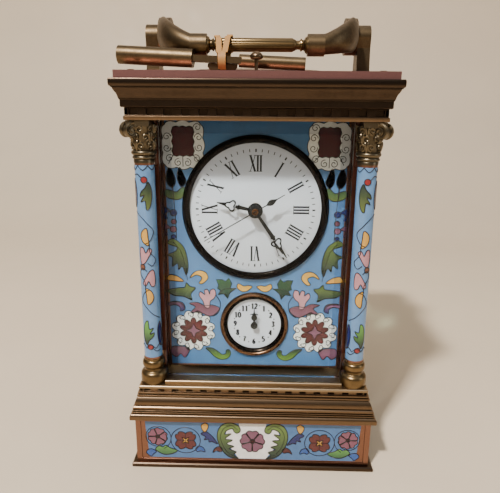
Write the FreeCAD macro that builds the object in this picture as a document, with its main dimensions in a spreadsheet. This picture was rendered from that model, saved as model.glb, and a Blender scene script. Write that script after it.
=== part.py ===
"""Carriage clock with cloisonne panels: case, dials, movement, back door, handle and tied-on key.

Frame: millimetres, +Z up, +X to the right, the dial faces -Y.
The origin is the middle of the underside that the clock stands on.
"""
import FreeCAD, Part
import math
import os

import Sketcher

doc = FreeCAD.newDocument("CarriageClock")
sheet = doc.addObject("Spreadsheet::Sheet", "Sizes")

SIZES = [
    # case
    ("case_width", 100.0), ("case_depth", 88.0),
    ("fit_gap", 0.1), ("running_gap", 0.06), ("clear_gap", 0.4),
    ("bottom_thick", 2.0), ("bottom_edge", 0.6),
    ("plinth_rise", 20.0), ("plinth_inset", 1.8), ("plinth_wall", 3.0),
    ("panel_thick", 1.0), ("panel_sunk", 0.2), ("panel_side_rim", 2.2), ("panel_flat_rim", 1.1),
    ("base_moulding_rise", 11.4), ("base_moulding_inset", 3.2),
    ("well_side", 20.0), ("well_end", 18.0),
    ("lower_dentil_rise", 1.4), ("lower_dentil_inset", 4.0), ("lower_dentil_count", 16),
    ("lower_dentil_gap", 2.4), ("dentil_cut", 0.9),
    ("deck_thick", 1.2), ("deck_inset", 3.6), ("sill_rise", 1.4), ("sill_depth", 1.6),
    # columns and posts
    ("column_inset", 9.1), ("rod_radius", 1.3), ("rod_head_radius", 2.6), ("rod_head_thick", 1.4),
    ("column_base_rise", 11.0), ("lower_torus_radius", 5.4), ("upper_torus_radius", 4.5),
    ("shaft_radius", 3.7), ("shaft_rise", 78.4),
    ("neck_rise", 4.6), ("neck_radius", 4.6), ("capital_rise", 10.5), ("capital_foot_radius", 3.5),
    ("abacus_inner", 3.3), ("abacus_outer", 6.4), ("abacus_thick", 2.0), ("volute_radius", 2.7),
    ("post_width", 1.7), ("post_depth", 4.0), ("post_side_inset", 12.1),
    ("post_front_inset", 11.8),
    # glazing
    ("glass_thick", 2.0), ("side_glass_thick", 1.6), ("bevel_width", 4.6), ("bevel_depth", 1.0),
    # entablature and top
    ("architrave_thick", 1.5), ("architrave_inset", 3.6),
    ("upper_dentil_rise", 2.8), ("upper_dentil_inset", 4.0), ("upper_dentil_count", 15),
    ("upper_dentil_gap", 3.1),
    ("cornice_rise", 9.6), ("cornice_inset", 3.4), ("cornice_well_side", 17.0),
    ("cornice_well_end", 16.0),
    ("top_thick", 2.6), ("top_inset", 1.5),
    ("window_width", 59.0), ("window_depth", 43.0), ("window_rise", 4.0), ("window_seat", 1.6),
    ("window_bevel", 1.4), ("window_lip", 2.0),
    # dial mask and dials
    ("mask_thick", 1.4), ("mask_front", 19.0), ("mask_foot_gap", 1.6),
    ("dial_thick", 1.0), ("main_dial_drop", 34.3), ("main_dial_radius", 26.5),
    ("main_bezel_lap", 2.5), ("main_bezel_width", 3.0), ("main_bezel_thick", 1.8),
    ("alarm_dial_lift", 21.2), ("alarm_dial_radius", 11.5),
    ("alarm_bezel_lap", 2.8), ("alarm_bezel_width", 3.1), ("alarm_bezel_thick", 1.4),
    # movement frame
    ("plate_thick", 1.6), ("plate_lap", 2.5), ("plate_top_drop", 13.5),
    ("plate_behind_mask", 8.0), ("plate_spacing", 35.0),
    ("pillar_radius", 2.0), ("pillar_inset", 4.5), ("pillar_low_lift", 10.0),
    ("pillar_high_drop", 4.5),
    # wheels
    ("seconds_arbor_radius", 0.6), ("centre_arbor_radius", 1.2), ("cannon_radius", 1.85),
    ("hour_pipe_radius", 2.6), ("plain_arbor_radius", 0.8), ("square_side", 2.6),
    ("train_module", 0.42), ("barrel_module", 0.7), ("motion_module", 0.4),
    ("barrel_across", -11.0), ("third_turn", -20.0), ("motion_turn", 225.0),
    ("motion_stud_length", 5.6), ("wheel_gap", 1.2), ("drum_gap", 8.5), ("third_wheel_gap", 2.0),
    ("contrate_gap", 3.0), ("square_reach", 4.5),
    ("barrel_drum_radius", 18.6), ("barrel_drum_length", 13.0),
    ("alarm_barrel_across", 14.5), ("alarm_barrel_lift", 20.0), ("alarm_drum_radius", 11.2),
    # hands
    ("hand_thick", 0.45), ("hour_hand_ahead", 2.0), ("minute_hand_ahead", 3.1), ("seconds_hand_ahead", 4.1),
    ("alarm_hand_ahead", 1.3), ("hour_hand_short", 11.1), ("minute_hand_short", 3.9),
    ("seconds_hand_short", 3.1), ("alarm_hand_short", 3.9),
    ("hour_hand_turn", 282.0), ("minute_hand_turn", 145.5),
    ("seconds_hand_turn", 239.0),
    # escapement platform
    ("platform_width", 34.0), ("platform_thick", 1.2), ("balance_radius", 8.6),
    ("escape_radius", 4.0), ("contrate_radius", 13.6), ("balance_behind_plate", 17.0),
    ("balance_rim", 1.3), ("balance_lift", 5.0), ("staff_sunk", 0.8), ("staff_length", 6.8),
    ("roller_radius", 1.6), ("roller_gap", 0.7), ("lever_lift", 1.4), ("lever_thick", 0.5),
    ("lever_length", 5.2), ("lever_staff_length", 3.2), ("pallet_span", 6.2),
    ("escape_arbor_drop", 3.5), ("escape_arbor_rise", 3.0), ("escape_leaf_length", 4.0),
    ("lever_behind_balance", 7.6), ("escape_behind_balance", 15.4),
    # alarm bell and hammer
    ("bell_radius", 24.0), ("bell_rise", 12.0), ("bell_wall", 1.2), ("bell_foot", 5.0),
    ("bell_stud_radius", 0.9), ("bell_shoulder_radius", 3.0), ("bell_nut_radius", 2.6),
    ("bell_nut_thick", 1.6),
    ("hammer_across", -24.0), ("hammer_pivot_lift", 14.0), ("hammer_head_radius", 2.2),
    ("hammer_head_lift", 2.2), ("hammer_gap", 0.8), ("hammer_wire_radius", 0.6), ("hammer_hub_half", 1.4),
    # door
    ("door_side_inset", 15.3), ("door_thick", 2.6), ("door_back_inset", 7.2), ("door_rail", 5.2),
    ("hinge_pin_radius", 0.8), ("hinge_inset", 1.0), ("knob_radius", 2.4), ("knob_length", 4.0),
    # handle
    ("handle_post_inset", 4.8), ("handle_post_thick", 5.2), ("handle_post_foot", 13.0),
    ("handle_post_foot_rise", 1.8), ("handle_pivot_rise", 16.0), ("knuckle_radius", 4.4),
    ("pivot_radius", 1.5), ("ear_radius", 7.0), ("ear_thick", 4.6), ("ear_gap", 0.3),
    ("grip_inset", 16.8), ("grip_drop", 6.3), ("grip_radius", 2.4), ("collar_radius", 3.8),
    ("collar_place", 24.0), ("collar_length", 6.0), ("reeded_half", 13.0), ("waist_radius", 1.7),
    # key and band
    ("key_left", -49.2), ("key_ahead", 3.3), ("key_hang", 3.8), ("key_tilt", 2.9),
    ("key_yaw", 5.0), ("big_barrel_length", 27.0), ("big_barrel_radius", 3.15),
    ("key_plate_length", 21.4), ("key_plate_thick", 2.2), ("key_plate_width", 4.4),
    ("small_barrel_length", 23.0), ("small_barrel_radius", 2.2), ("socket_depth", 12.0),
    ("band_radius", 2.75), ("band_thick", 0.7), ("band_width", 5.0), ("band_place", -12.0),
    # push-button
    ("button_inset", 3.0), ("button_stem_radius", 0.6), ("button_head_radius", 2.2),
    ("button_head_rise", 3.7), ("button_head_thick", 2.4), ("button_stem_length", 5.0),
]


class Size:
    """A length that is both a number and the sheet formula behind it."""

    def __init__(self, value, text):
        self.value = value
        self.text = text

    def __add__(self, other):
        other = as_size(other)
        return Size(self.value + other.value, "(%s + %s)" % (self.text, other.text))

    def __sub__(self, other):
        other = as_size(other)
        return Size(self.value - other.value, "(%s - %s)" % (self.text, other.text))

    def __mul__(self, factor):
        factor = as_size(factor)
        return Size(self.value * factor.value, "(%s * %s)" % (self.text, factor.text))

    def __truediv__(self, factor):
        factor = as_size(factor)
        return Size(self.value / factor.value, "(%s / %s)" % (self.text, factor.text))

    def __neg__(self):
        return Size(-self.value, "(0 - %s)" % self.text)

    __radd__ = __add__
    __rmul__ = __mul__

    def __rsub__(self, other):
        return as_size(other) - self


def as_size(number):
    """Wrap a plain number so that it can stand in a formula."""
    if isinstance(number, Size):
        return number
    return Size(float(number), "%.6f" % number)


class Sheet:
    """The sheet's named sizes, read as attributes."""


size = Sheet()
for row, (alias, number) in enumerate(SIZES, start=1):
    sheet.set("A%d" % row, alias)
    sheet.set("B%d" % row, "%g" % number)
    sheet.setAlias("B%d" % row, alias)
    setattr(size, alias, Size(float(number), "Sizes." + alias))
doc.recompute()

nodes = []


def bind(thing, prop, amount):
    """Tie a property to the sheet."""
    thing.setExpression(prop, as_size(amount).text)


def node(label, thing):
    """Name a finished sub-part and keep it for export."""
    thing.Label = label
    nodes.append(thing)
    return thing


def place(thing, x, y, z, rotation=None):
    """Turn a thing, then tie its position to the sheet."""
    x, y, z = as_size(x), as_size(y), as_size(z)
    turn = rotation or FreeCAD.Rotation()
    thing.Placement = FreeCAD.Placement(FreeCAD.Vector(x.value, y.value, z.value), turn)
    bind(thing, "Placement.Base.x", x)
    bind(thing, "Placement.Base.y", y)
    bind(thing, "Placement.Base.z", z)
    return thing


AXIS_TURN = {
    "x": FreeCAD.Rotation(FreeCAD.Vector(0, 1, 0), 90),
    "y": FreeCAD.Rotation(FreeCAD.Vector(1, 0, 0), -90),
    "z": FreeCAD.Rotation(),
}


def box(name, x_span, y_span, z_span):
    """A block between pairs of coordinates."""
    thing = doc.addObject("Part::Box", name)
    bind(thing, "Length", as_size(x_span[1]) - x_span[0])
    bind(thing, "Width", as_size(y_span[1]) - y_span[0])
    bind(thing, "Height", as_size(z_span[1]) - z_span[0])
    return place(thing, x_span[0], y_span[0], z_span[0])


def centred_box(name, width, depth, low, high):
    """A block centred on the clock's upright axis."""
    width, depth = as_size(width), as_size(depth)
    return box(name, (-width / 2, width / 2), (-depth / 2, depth / 2), (low, high))


def rod(name, radius, start, length, axis):
    """A cylinder from a start point along +x, +y or +z."""
    thing = doc.addObject("Part::Cylinder", name)
    bind(thing, "Radius", radius)
    bind(thing, "Height", length)
    return place(thing, start[0], start[1], start[2], AXIS_TURN[axis])


def cut(name, base, *tools):
    """The base without the tools."""
    result = doc.addObject("Part::Cut", name)
    result.Base = base
    result.Tool = tools[0] if len(tools) == 1 else fuse(name + "_tools", *tools)
    return result


def fuse(name, *things):
    """Several things joined into one solid."""
    result = doc.addObject("Part::MultiFuse", name)
    result.Shapes = list(things)
    result.Refine = True
    return result


def group(name, things):
    """Separate solids kept together."""
    result = doc.addObject("Part::Compound", name)
    result.Links = things
    return result


def origin_plane(body, role):
    """One of a body's own origin planes."""
    for feature in body.Origin.OriginFeatures:
        if feature.Role == role:
            return feature
    raise ValueError(role)


def outline_sketch(body, name, role, points):
    """A closed outline whose corners are all tied to the sheet."""
    sketch = body.newObject("Sketcher::SketchObject", name)
    sketch.AttachmentSupport = [(origin_plane(body, role), "")]
    sketch.MapMode = "FlatFace"
    add_outline(sketch, points)
    return sketch


def add_outline(sketch, points):
    """Draw one closed outline in a sketch."""
    points = [(as_size(u), as_size(v)) for u, v in points]
    first = len(sketch.Geometry)
    count = len(points)
    for here, there in zip(points, points[1:] + points[:1]):
        start = FreeCAD.Vector(here[0].value, here[1].value, 0)
        end = FreeCAD.Vector(there[0].value, there[1].value, 0)
        sketch.addGeometry(Part.LineSegment(start, end), False)
    for index in range(count):
        follower = first + (index + 1) % count
        sketch.addConstraint(Sketcher.Constraint("Coincident", first + index, 2, follower, 1))
    for index, (u, v) in enumerate(points):
        for kind, amount in (("DistanceX", u), ("DistanceY", v)):
            rule = Sketcher.Constraint(kind, -1, 1, first + index, 1, amount.value)
            number = sketch.addConstraint(rule)
            sketch.setExpression("Constraints[%d]" % number, amount.text)


def turned(name, profile, centre=(0, 0, 0), rotation=None):
    """A lathe-turned solid: a profile of (radius, height) points turned about its own z."""
    body = doc.addObject("PartDesign::Body", name)
    sketch = outline_sketch(body, name + "_profile", "XZ_Plane", profile)
    turning = body.newObject("PartDesign::Revolution", name + "_turning")
    turning.Profile = sketch
    turning.ReferenceAxis = (sketch, ["V_Axis"])
    turning.Angle = 360
    body.Tip = turning
    return place(body, centre[0], centre[1], centre[2], rotation)


def padded(name, points, thick, role="XY_Plane", centre=(0, 0, 0), rotation=None):
    """A plate of an outline's shape."""
    body = doc.addObject("PartDesign::Body", name)
    sketch = outline_sketch(body, name + "_outline", role, points)
    pad = body.newObject("PartDesign::Pad", name + "_pad")
    pad.Profile = sketch
    bind(pad, "Length", thick)
    body.Tip = pad
    return place(body, centre[0], centre[1], centre[2], rotation)


half_width = size.case_width / 2
half_depth = size.case_depth / 2


def tapered_slab(name, low_inset, high_inset, low, high):
    """One step of a moulding: a slab whose four sides lean together."""
    slab = doc.addObject("Part::Wedge", name)
    for prop, half, inset in (
        ("X", half_width, low_inset), ("X2", half_width, high_inset),
        ("Z", half_depth, low_inset), ("Z2", half_depth, high_inset),
    ):
        bind(slab, prop + "min", inset - half)
        bind(slab, prop + "max", half - inset)
    slab.Ymin = 0
    bind(slab, "Ymax", high - low)
    return place(slab, 0, 0, low, FreeCAD.Rotation(FreeCAD.Vector(1, 0, 0), 90))


def moulding(name, profile, bottom, rise, inset, well):
    """A mitred moulding round the case with a rectangular well through it.

    The profile runs upwards as (share of the rise, share of the inset).
    """
    slabs = []
    for index, (here, there) in enumerate(zip(profile, profile[1:])):
        if there[0] == here[0]:
            continue
        slabs.append(tapered_slab(
            "%s_step_%d" % (name, index), inset * here[1], inset * there[1],
            bottom + rise * here[0], bottom + rise * there[0],
        ))
    solid = fuse(name + "_solid", *slabs)
    hollow = centred_box(name + "_well", well[0], well[1], bottom - 1, bottom + rise + 1)
    return cut(name + "_frame", solid, hollow)


# heights of the case, from the table upwards
plinth_low = size.bottom_thick
plinth_high = plinth_low + size.plinth_rise
lower_dentil_low = plinth_high + size.base_moulding_rise
deck_low = lower_dentil_low + size.lower_dentil_rise
deck_high = deck_low + size.deck_thick
shaft_low = deck_high + size.column_base_rise
shaft_high = shaft_low + size.shaft_rise
capital_low = shaft_high + size.neck_rise
column_high = capital_low + size.capital_rise
upper_dentil_low = column_high + size.architrave_thick
cornice_low = upper_dentil_low + size.upper_dentil_rise
top_low = cornice_low + size.cornice_rise
top_high = top_low + size.top_thick
pivot_rise = top_high + size.handle_pivot_rise

# places that follow the case
well_width = size.case_width - size.well_side * 2
well_depth = size.case_depth - size.well_end * 2
mask_y = size.mask_front - half_depth
mask_foot = deck_high + size.mask_foot_gap
main_dial_rise = column_high - size.main_dial_drop
main_bezel_radius = size.main_dial_radius + size.main_bezel_lap
alarm_dial_rise = deck_high + size.alarm_dial_lift
alarm_bezel_radius = size.alarm_dial_radius + size.alarm_bezel_lap
plate_width = well_width + size.plate_lap * 2
plate_top = column_high - size.plate_top_drop
front_plate_front = mask_y + size.plate_behind_mask
back_plate_front = front_plate_front + size.plate_spacing
hour_hand_front = mask_y - size.hour_hand_ahead
minute_hand_front = mask_y - size.minute_hand_ahead
seconds_hand_front = mask_y - size.seconds_hand_ahead
balance_y = front_plate_front + size.balance_behind_plate
lever_y = balance_y + size.lever_behind_balance
escape_y = balance_y + size.escape_behind_balance
door_width = size.case_width - size.door_side_inset * 2
door_back = half_depth - size.door_back_inset
handle_post_outer = half_width - size.handle_post_inset
grip_y = size.grip_inset - half_depth
grip_z = pivot_rise - size.grip_drop
button_y = size.button_inset - half_depth

column_x = half_width - size.column_inset
column_y = half_depth - size.column_inset
rod_bore = size.rod_radius + size.fit_gap
corners = [(sign_x, sign_y) for sign_y in (-1, 1) for sign_x in (-1, 1)]


def rod_bores(name, low, high, radius=None):
    """The four upright holes that the case's tie rods pass through."""
    radius = radius or rod_bore
    bores = []
    for index, (sign_x, sign_y) in enumerate(corners):
        start = (column_x * sign_x, column_y * sign_y, low)
        bores.append(rod("%s_bore_%d" % (name, index), radius, start, high - low, "z"))
    return bores


def make_bottom_plate():
    """The plate under the plinth, with a small chamfer round its top and sunk rod heads."""
    blank = doc.addObject("Part::Box", "bottom_blank")
    bind(blank, "Length", size.case_width)
    bind(blank, "Width", size.case_depth)
    bind(blank, "Height", size.bottom_thick)
    place(blank, -half_width, -half_depth, 0)
    doc.recompute()
    edged = doc.addObject("Part::Chamfer", "bottom_edged")
    edged.Base = blank
    top_edges = []
    for number, edge in enumerate(blank.Shape.Edges, start=1):
        if all(abs(vertex.Point.z - size.bottom_thick.value) < 1e-6 for vertex in edge.Vertexes):
            top_edges.append((number, size.bottom_edge.value, size.bottom_edge.value))
    edged.Edges = top_edges
    shanks = rod_bores("bottom_shank", as_size(-1), size.bottom_thick + 1)
    sinks = rod_bores(
        "bottom_sink", as_size(-1), size.rod_head_thick + size.clear_gap,
        size.rod_head_radius + size.fit_gap,
    )
    node("bottom_plate", cut("bottom", edged, *shanks, *sinks))


def make_plinth():
    """The box under the moulding: a frame with a shallow recess on each side for its panel."""
    outer_x = half_width - size.plinth_inset
    outer_y = half_depth - size.plinth_inset
    recess = size.panel_thick + size.panel_sunk
    low = plinth_low + size.panel_flat_rim
    high = plinth_high - size.panel_flat_rim
    front_half = outer_x - size.panel_side_rim
    side_half = outer_y - size.panel_side_rim
    blank = centred_box("plinth_blank", outer_x * 2, outer_y * 2, plinth_low, plinth_high)
    hollow = centred_box(
        "plinth_hollow", (outer_x - size.plinth_wall) * 2, (outer_y - size.plinth_wall) * 2,
        plinth_low - 1, plinth_high + 1,
    )
    recesses = [
        box("recess_front", (-front_half, front_half), (-outer_y - 1, recess - outer_y), (low, high)),
        box("recess_back", (-front_half, front_half), (outer_y - recess, outer_y + 1), (low, high)),
        box("recess_left", (-outer_x - 1, recess - outer_x), (-side_half, side_half), (low, high)),
        box("recess_right", (outer_x - recess, outer_x + 1), (-side_half, side_half), (low, high)),
    ]
    node("plinth_frame", cut("plinth", blank, hollow, *recesses))
    gap = size.fit_gap
    rise = (low + gap, high - gap)
    across = (gap - front_half, front_half - gap)
    along = (gap - side_half, side_half - gap)
    inner_x = outer_x - recess
    inner_y = outer_y - recess
    thick = size.panel_thick
    node("plinth_panel_front", box("panel_front", across, (-inner_y - thick, -inner_y), rise))
    node("plinth_panel_back", box("panel_back", across, (inner_y, inner_y + thick), rise))
    node("plinth_panels_side", group("side_panels", [
        box("panel_left", (-inner_x - thick, -inner_x), along, rise),
        box("panel_right", (inner_x, inner_x + thick), along, rise),
    ]))


BASE_PROFILE = [
    (0, 0.35), (0.1, 0.35), (0.1, 0.08), (0.17, 0), (0.25, 0.06), (0.25, 0.2), (0.42, 0.32),
    (0.42, 0.42), (0.6, 0.54), (0.6, 0.64), (0.8, 0.8), (0.8, 0.9), (1, 1),
]
CORNICE_PROFILE = [
    (0, 1), (0.33, 1), (0.33, 0.88), (0.43, 0.8), (0.43, 0.7), (0.55, 0.52), (0.68, 0.22),
    (0.68, 0.12), (0.73, 0.12), (0.73, 0), (0.97, 0), (1, 0.1),
]


def dentil_band(name, inset, low, rise, count, gap, well):
    """A strip with square notches milled round its four sides."""
    outer_x = half_width - inset
    outer_y = half_depth - inset
    body = doc.addObject("PartDesign::Body", name + "_body")
    outline = [(-outer_x, -outer_y), (outer_x, -outer_y), (outer_x, outer_y), (-outer_x, outer_y)]
    sketch = outline_sketch(body, name + "_outline", "XY_Plane", outline)
    inner_x = well[0] / 2
    inner_y = well[1] / 2
    add_outline(sketch, [(-inner_x, -inner_y), (inner_x, -inner_y), (inner_x, inner_y),
                         (-inner_x, inner_y)])
    pad = body.newObject("PartDesign::Pad", name + "_pad")
    pad.Profile = sketch
    bind(pad, "Length", rise)
    body.Tip = pad
    doc.recompute()
    pitch = outer_x * 2 / (count + 0.5)
    side_count = max(2, int(2 * outer_y.value / pitch.value) - 1)
    runs = [
        ("front", outer_x, outer_y, int(count.value), 0, "H_Axis"),
        ("side", outer_y, outer_x, side_count, 1, "V_Axis"),
    ]
    for word, half_run, edge, times, swap, direction in runs:
        start = -pitch * ((times - 1) / 2)
        cut_deep = size.dentil_cut
        notch = body.newObject("Sketcher::SketchObject", "%s_%s_notch" % (name, word))
        notch.AttachmentSupport = [(origin_plane(body, "XY_Plane"), "")]
        notch.MapMode = "FlatFace"
        for sign in (-1, 1):
            corners_of_notch = [
                (start - gap / 2, (edge - cut_deep) * sign), (start + gap / 2, (edge - cut_deep) * sign),
                (start + gap / 2, (edge + 1) * sign), (start - gap / 2, (edge + 1) * sign),
            ]
            if swap:
                corners_of_notch = [(v, u) for u, v in corners_of_notch]
            add_outline(notch, corners_of_notch)
        pocket = body.newObject("PartDesign::Pocket", "%s_%s_pocket" % (name, word))
        pocket.Profile = notch
        pocket.Type = "ThroughAll"
        pocket.Reversed = True
        body.Tip = pocket
        doc.recompute()
        pattern = body.newObject("PartDesign::LinearPattern", "%s_%s_run" % (name, word))
        pattern.Originals = [pocket]
        pattern.Direction = (notch, [direction])
        bind(pattern, "Length", pitch * (times - 1))
        pattern.Occurrences = times
        body.Tip = pattern
        doc.recompute()
    return place(body, 0, 0, low)


def make_base():
    """Moulding, notched strip and deck above the plinth."""
    well = (well_width, well_depth)
    ring = moulding("base_moulding", BASE_PROFILE, plinth_high, size.base_moulding_rise,
                    size.base_moulding_inset, well)
    bores = rod_bores("base_moulding", plinth_high - 1, lower_dentil_low + 1)
    node("base_moulding", cut("base_moulding_bored", ring, *bores))
    strip = dentil_band("lower_dentils", size.lower_dentil_inset, lower_dentil_low,
                        size.lower_dentil_rise, size.lower_dentil_count, size.lower_dentil_gap, well)
    bores = rod_bores("lower_dentils", lower_dentil_low - 1, deck_low + 1)
    node("lower_dentil_band", cut("lower_dentils_bored", strip, *bores))
    deck = centred_box("deck_blank", size.case_width - size.deck_inset * 2,
                       size.case_depth - size.deck_inset * 2, deck_low, deck_high)
    sill_front = size.post_front_inset - half_depth - size.clear_gap
    sill_half = column_x - size.lower_torus_radius - size.clear_gap
    sill = box("deck_sill", (-sill_half, sill_half), (sill_front - size.sill_depth, sill_front),
               (deck_low, deck_high + size.sill_rise))
    opening = centred_box("deck_well", well[0], well[1], deck_low - 1, deck_high + 1)
    pin_hole = rod("deck_pin_hole", size.hinge_pin_radius + size.running_gap,
                   (hinge_x, hinge_y, deck_low - 1), size.deck_thick + 2, "z")
    bores = rod_bores("deck", deck_low - 1, deck_high + 1)
    node("deck_plate", cut("deck", fuse("deck_solid", deck, sill), opening, pin_hole, *bores))


hinge_x = -(door_width / 2 - size.hinge_inset)
hinge_y = door_back - size.door_thick / 2


def make_columns():
    """Turned bases, enamelled shafts and cast capitals threaded on the four tie rods."""
    rise = size.column_base_rise
    low_r = size.lower_torus_radius
    high_r = size.upper_torus_radius
    base_profile = [
        (rod_bore, 0), (low_r * 0.94, 0), (low_r, rise * 0.12), (low_r, rise * 0.34),
        (low_r * 0.92, rise * 0.45), (high_r * 0.84, rise * 0.5), (high_r * 0.8, rise * 0.6),
        (high_r * 0.95, rise * 0.66), (high_r, rise * 0.76), (high_r * 0.94, rise * 0.92),
        (high_r * 0.84, rise), (rod_bore, rise),
    ]
    neck = size.neck_rise
    ring_r = size.neck_radius
    neck_profile = [
        (rod_bore, 0), (size.shaft_radius, 0), (size.shaft_radius, neck * 0.25),
        (ring_r * 0.87, neck * 0.3), (ring_r * 0.93, neck * 0.45), (ring_r * 0.84, neck * 0.55),
        (ring_r, neck * 0.7), (ring_r, neck * 0.85), (size.capital_foot_radius, neck),
        (size.capital_foot_radius + 0.9, neck + size.capital_rise - size.abacus_thick),
        (rod_bore, neck + size.capital_rise - size.abacus_thick),
    ]
    shaft_profile = [
        (rod_bore, 0), (size.shaft_radius, 0), (size.shaft_radius, size.shaft_rise),
        (rod_bore, size.shaft_rise),
    ]
    bases, shafts, capitals = [], [], []
    for index, (sign_x, sign_y) in enumerate(corners):
        centre_x = column_x * sign_x
        centre_y = column_y * sign_y
        bases.append(turned("base_%d" % index, base_profile, (centre_x, centre_y, deck_high)))
        shafts.append(turned("shaft_%d" % index, shaft_profile, (centre_x, centre_y, shaft_low)))
        bell = turned("capital_bell_%d" % index, neck_profile, (centre_x, centre_y, shaft_high))
        spans = []
        for centre, sign in ((column_x, sign_x), (column_y, sign_y)):
            edges = [(centre - size.abacus_inner) * sign, (centre + size.abacus_outer) * sign]
            spans.append(edges if sign > 0 else edges[::-1])
        abacus = box("abacus_%d" % index, spans[0], spans[1],
                     (column_high - size.abacus_thick, column_high))
        scroll_turn = FreeCAD.Rotation(FreeCAD.Vector(0, 0, 1),
                                       math.degrees(math.atan2(sign_y, sign_x)))
        reach = size.abacus_outer - size.volute_radius * 0.72
        offset = size.volute_radius * (math.sqrt(2) / 4)
        scroll = rod("scroll_%d" % index, size.volute_radius, (0, 0, 0), size.volute_radius, "y")
        place(scroll, centre_x + reach * sign_x + offset * sign_y,
              centre_y + reach * sign_y - offset * sign_x,
              column_high - size.abacus_thick - size.volute_radius * 0.5,
              scroll_turn.multiply(AXIS_TURN["y"]))
        bore = rod("capital_bore_%d" % index, rod_bore, (centre_x, centre_y, shaft_high - 1),
                   column_high - shaft_high + 2, "z")
        whole = fuse("capital_solid_%d" % index, bell, abacus, scroll)
        capitals.append(cut("capital_%d" % index, whole, bore))
    node("column_bases", group("bases", bases))
    node("column_shafts", group("shafts", shafts))
    node("column_capitals", group("capitals", capitals))


def make_tie_rods():
    """Long screws from under the bottom plate into the architrave."""
    rods = []
    for index, (sign_x, sign_y) in enumerate(corners):
        start = (column_x * sign_x, column_y * sign_y, size.clear_gap)
        head = rod("rod_head_%d" % index, size.rod_head_radius, start, size.rod_head_thick, "z")
        shank = rod("rod_shank_%d" % index, size.rod_radius, start,
                    upper_dentil_low - size.clear_gap * 2, "z")
        rods.append(fuse("tie_rod_%d" % index, head, shank))
    node("tie_rods", group("rods", rods))


post_inner = half_width - size.post_side_inset - size.post_width
post_front = half_depth - size.post_front_inset


def make_posts():
    """Four slim corner posts behind the columns, relieved round each column's base and capital."""
    posts = []
    for index, (sign_x, sign_y) in enumerate(corners):
        across = [post_inner * sign_x, (post_inner + size.post_width) * sign_x]
        along = [post_front * sign_y, (post_front - size.post_depth) * sign_y]
        blank = box("post_blank_%d" % index, sorted(across, key=lambda s: s.value),
                    sorted(along, key=lambda s: s.value), (deck_high, column_high))
        centre = (column_x * sign_x, column_y * sign_y)
        low_relief = rod("post_low_relief_%d" % index, size.lower_torus_radius + size.fit_gap * 2,
                         (centre[0], centre[1], deck_high - 1), size.column_base_rise + 2, "z")
        high_relief = rod("post_high_relief_%d" % index, size.neck_radius + size.fit_gap * 4,
                          (centre[0], centre[1], shaft_high - 1), column_high - shaft_high + 2, "z")
        posts.append(cut("post_%d" % index, blank, low_relief, high_relief))
    node("corner_posts", group("posts", posts))


def bevelled_pane(name, half_run, low, high, thick, centre, turn=0):
    """An upright pane whose outward edges are ground to a wide bevel; turn is about +z."""
    bevel = size.bevel_width
    depth = size.bevel_depth
    front = doc.addObject("Part::Wedge", name + "_bevelled_face")
    for prop, amount in (
        ("Xmin", bevel - half_run), ("Xmax", half_run - bevel), ("X2min", -half_run),
        ("X2max", half_run), ("Zmin", low + bevel), ("Zmax", high - bevel), ("Z2min", low),
        ("Z2max", high), ("Ymax", depth),
    ):
        bind(front, prop, amount)
    front.Ymin = 0
    back = box(name + "_back", (-half_run, half_run), (depth, thick), (low, high))
    pane = fuse(name + "_pane", front, back)
    rotation = FreeCAD.Rotation(FreeCAD.Vector(0, 0, 1), turn)
    return place(pane, centre[0], centre[1], centre[2], rotation)


def make_glass():
    """Bevelled panes held between the corner posts."""
    low = deck_high + size.fit_gap
    high = column_high - size.fit_gap
    front_half = post_inner - size.fit_gap
    side_half = post_front - size.post_depth - size.fit_gap
    front_y = size.fit_gap * 3 - post_front
    node("front_glass", bevelled_pane("front", front_half, low, high, size.glass_thick,
                                      (0, front_y, 0)))
    side_x = post_inner + size.side_glass_thick
    for word, sign in (("left", -1), ("right", 1)):
        node(word + "_glass", bevelled_pane(word, side_half, low, high, size.side_glass_thick,
                                            (side_x * sign, 0, 0), 90 * sign))


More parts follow.
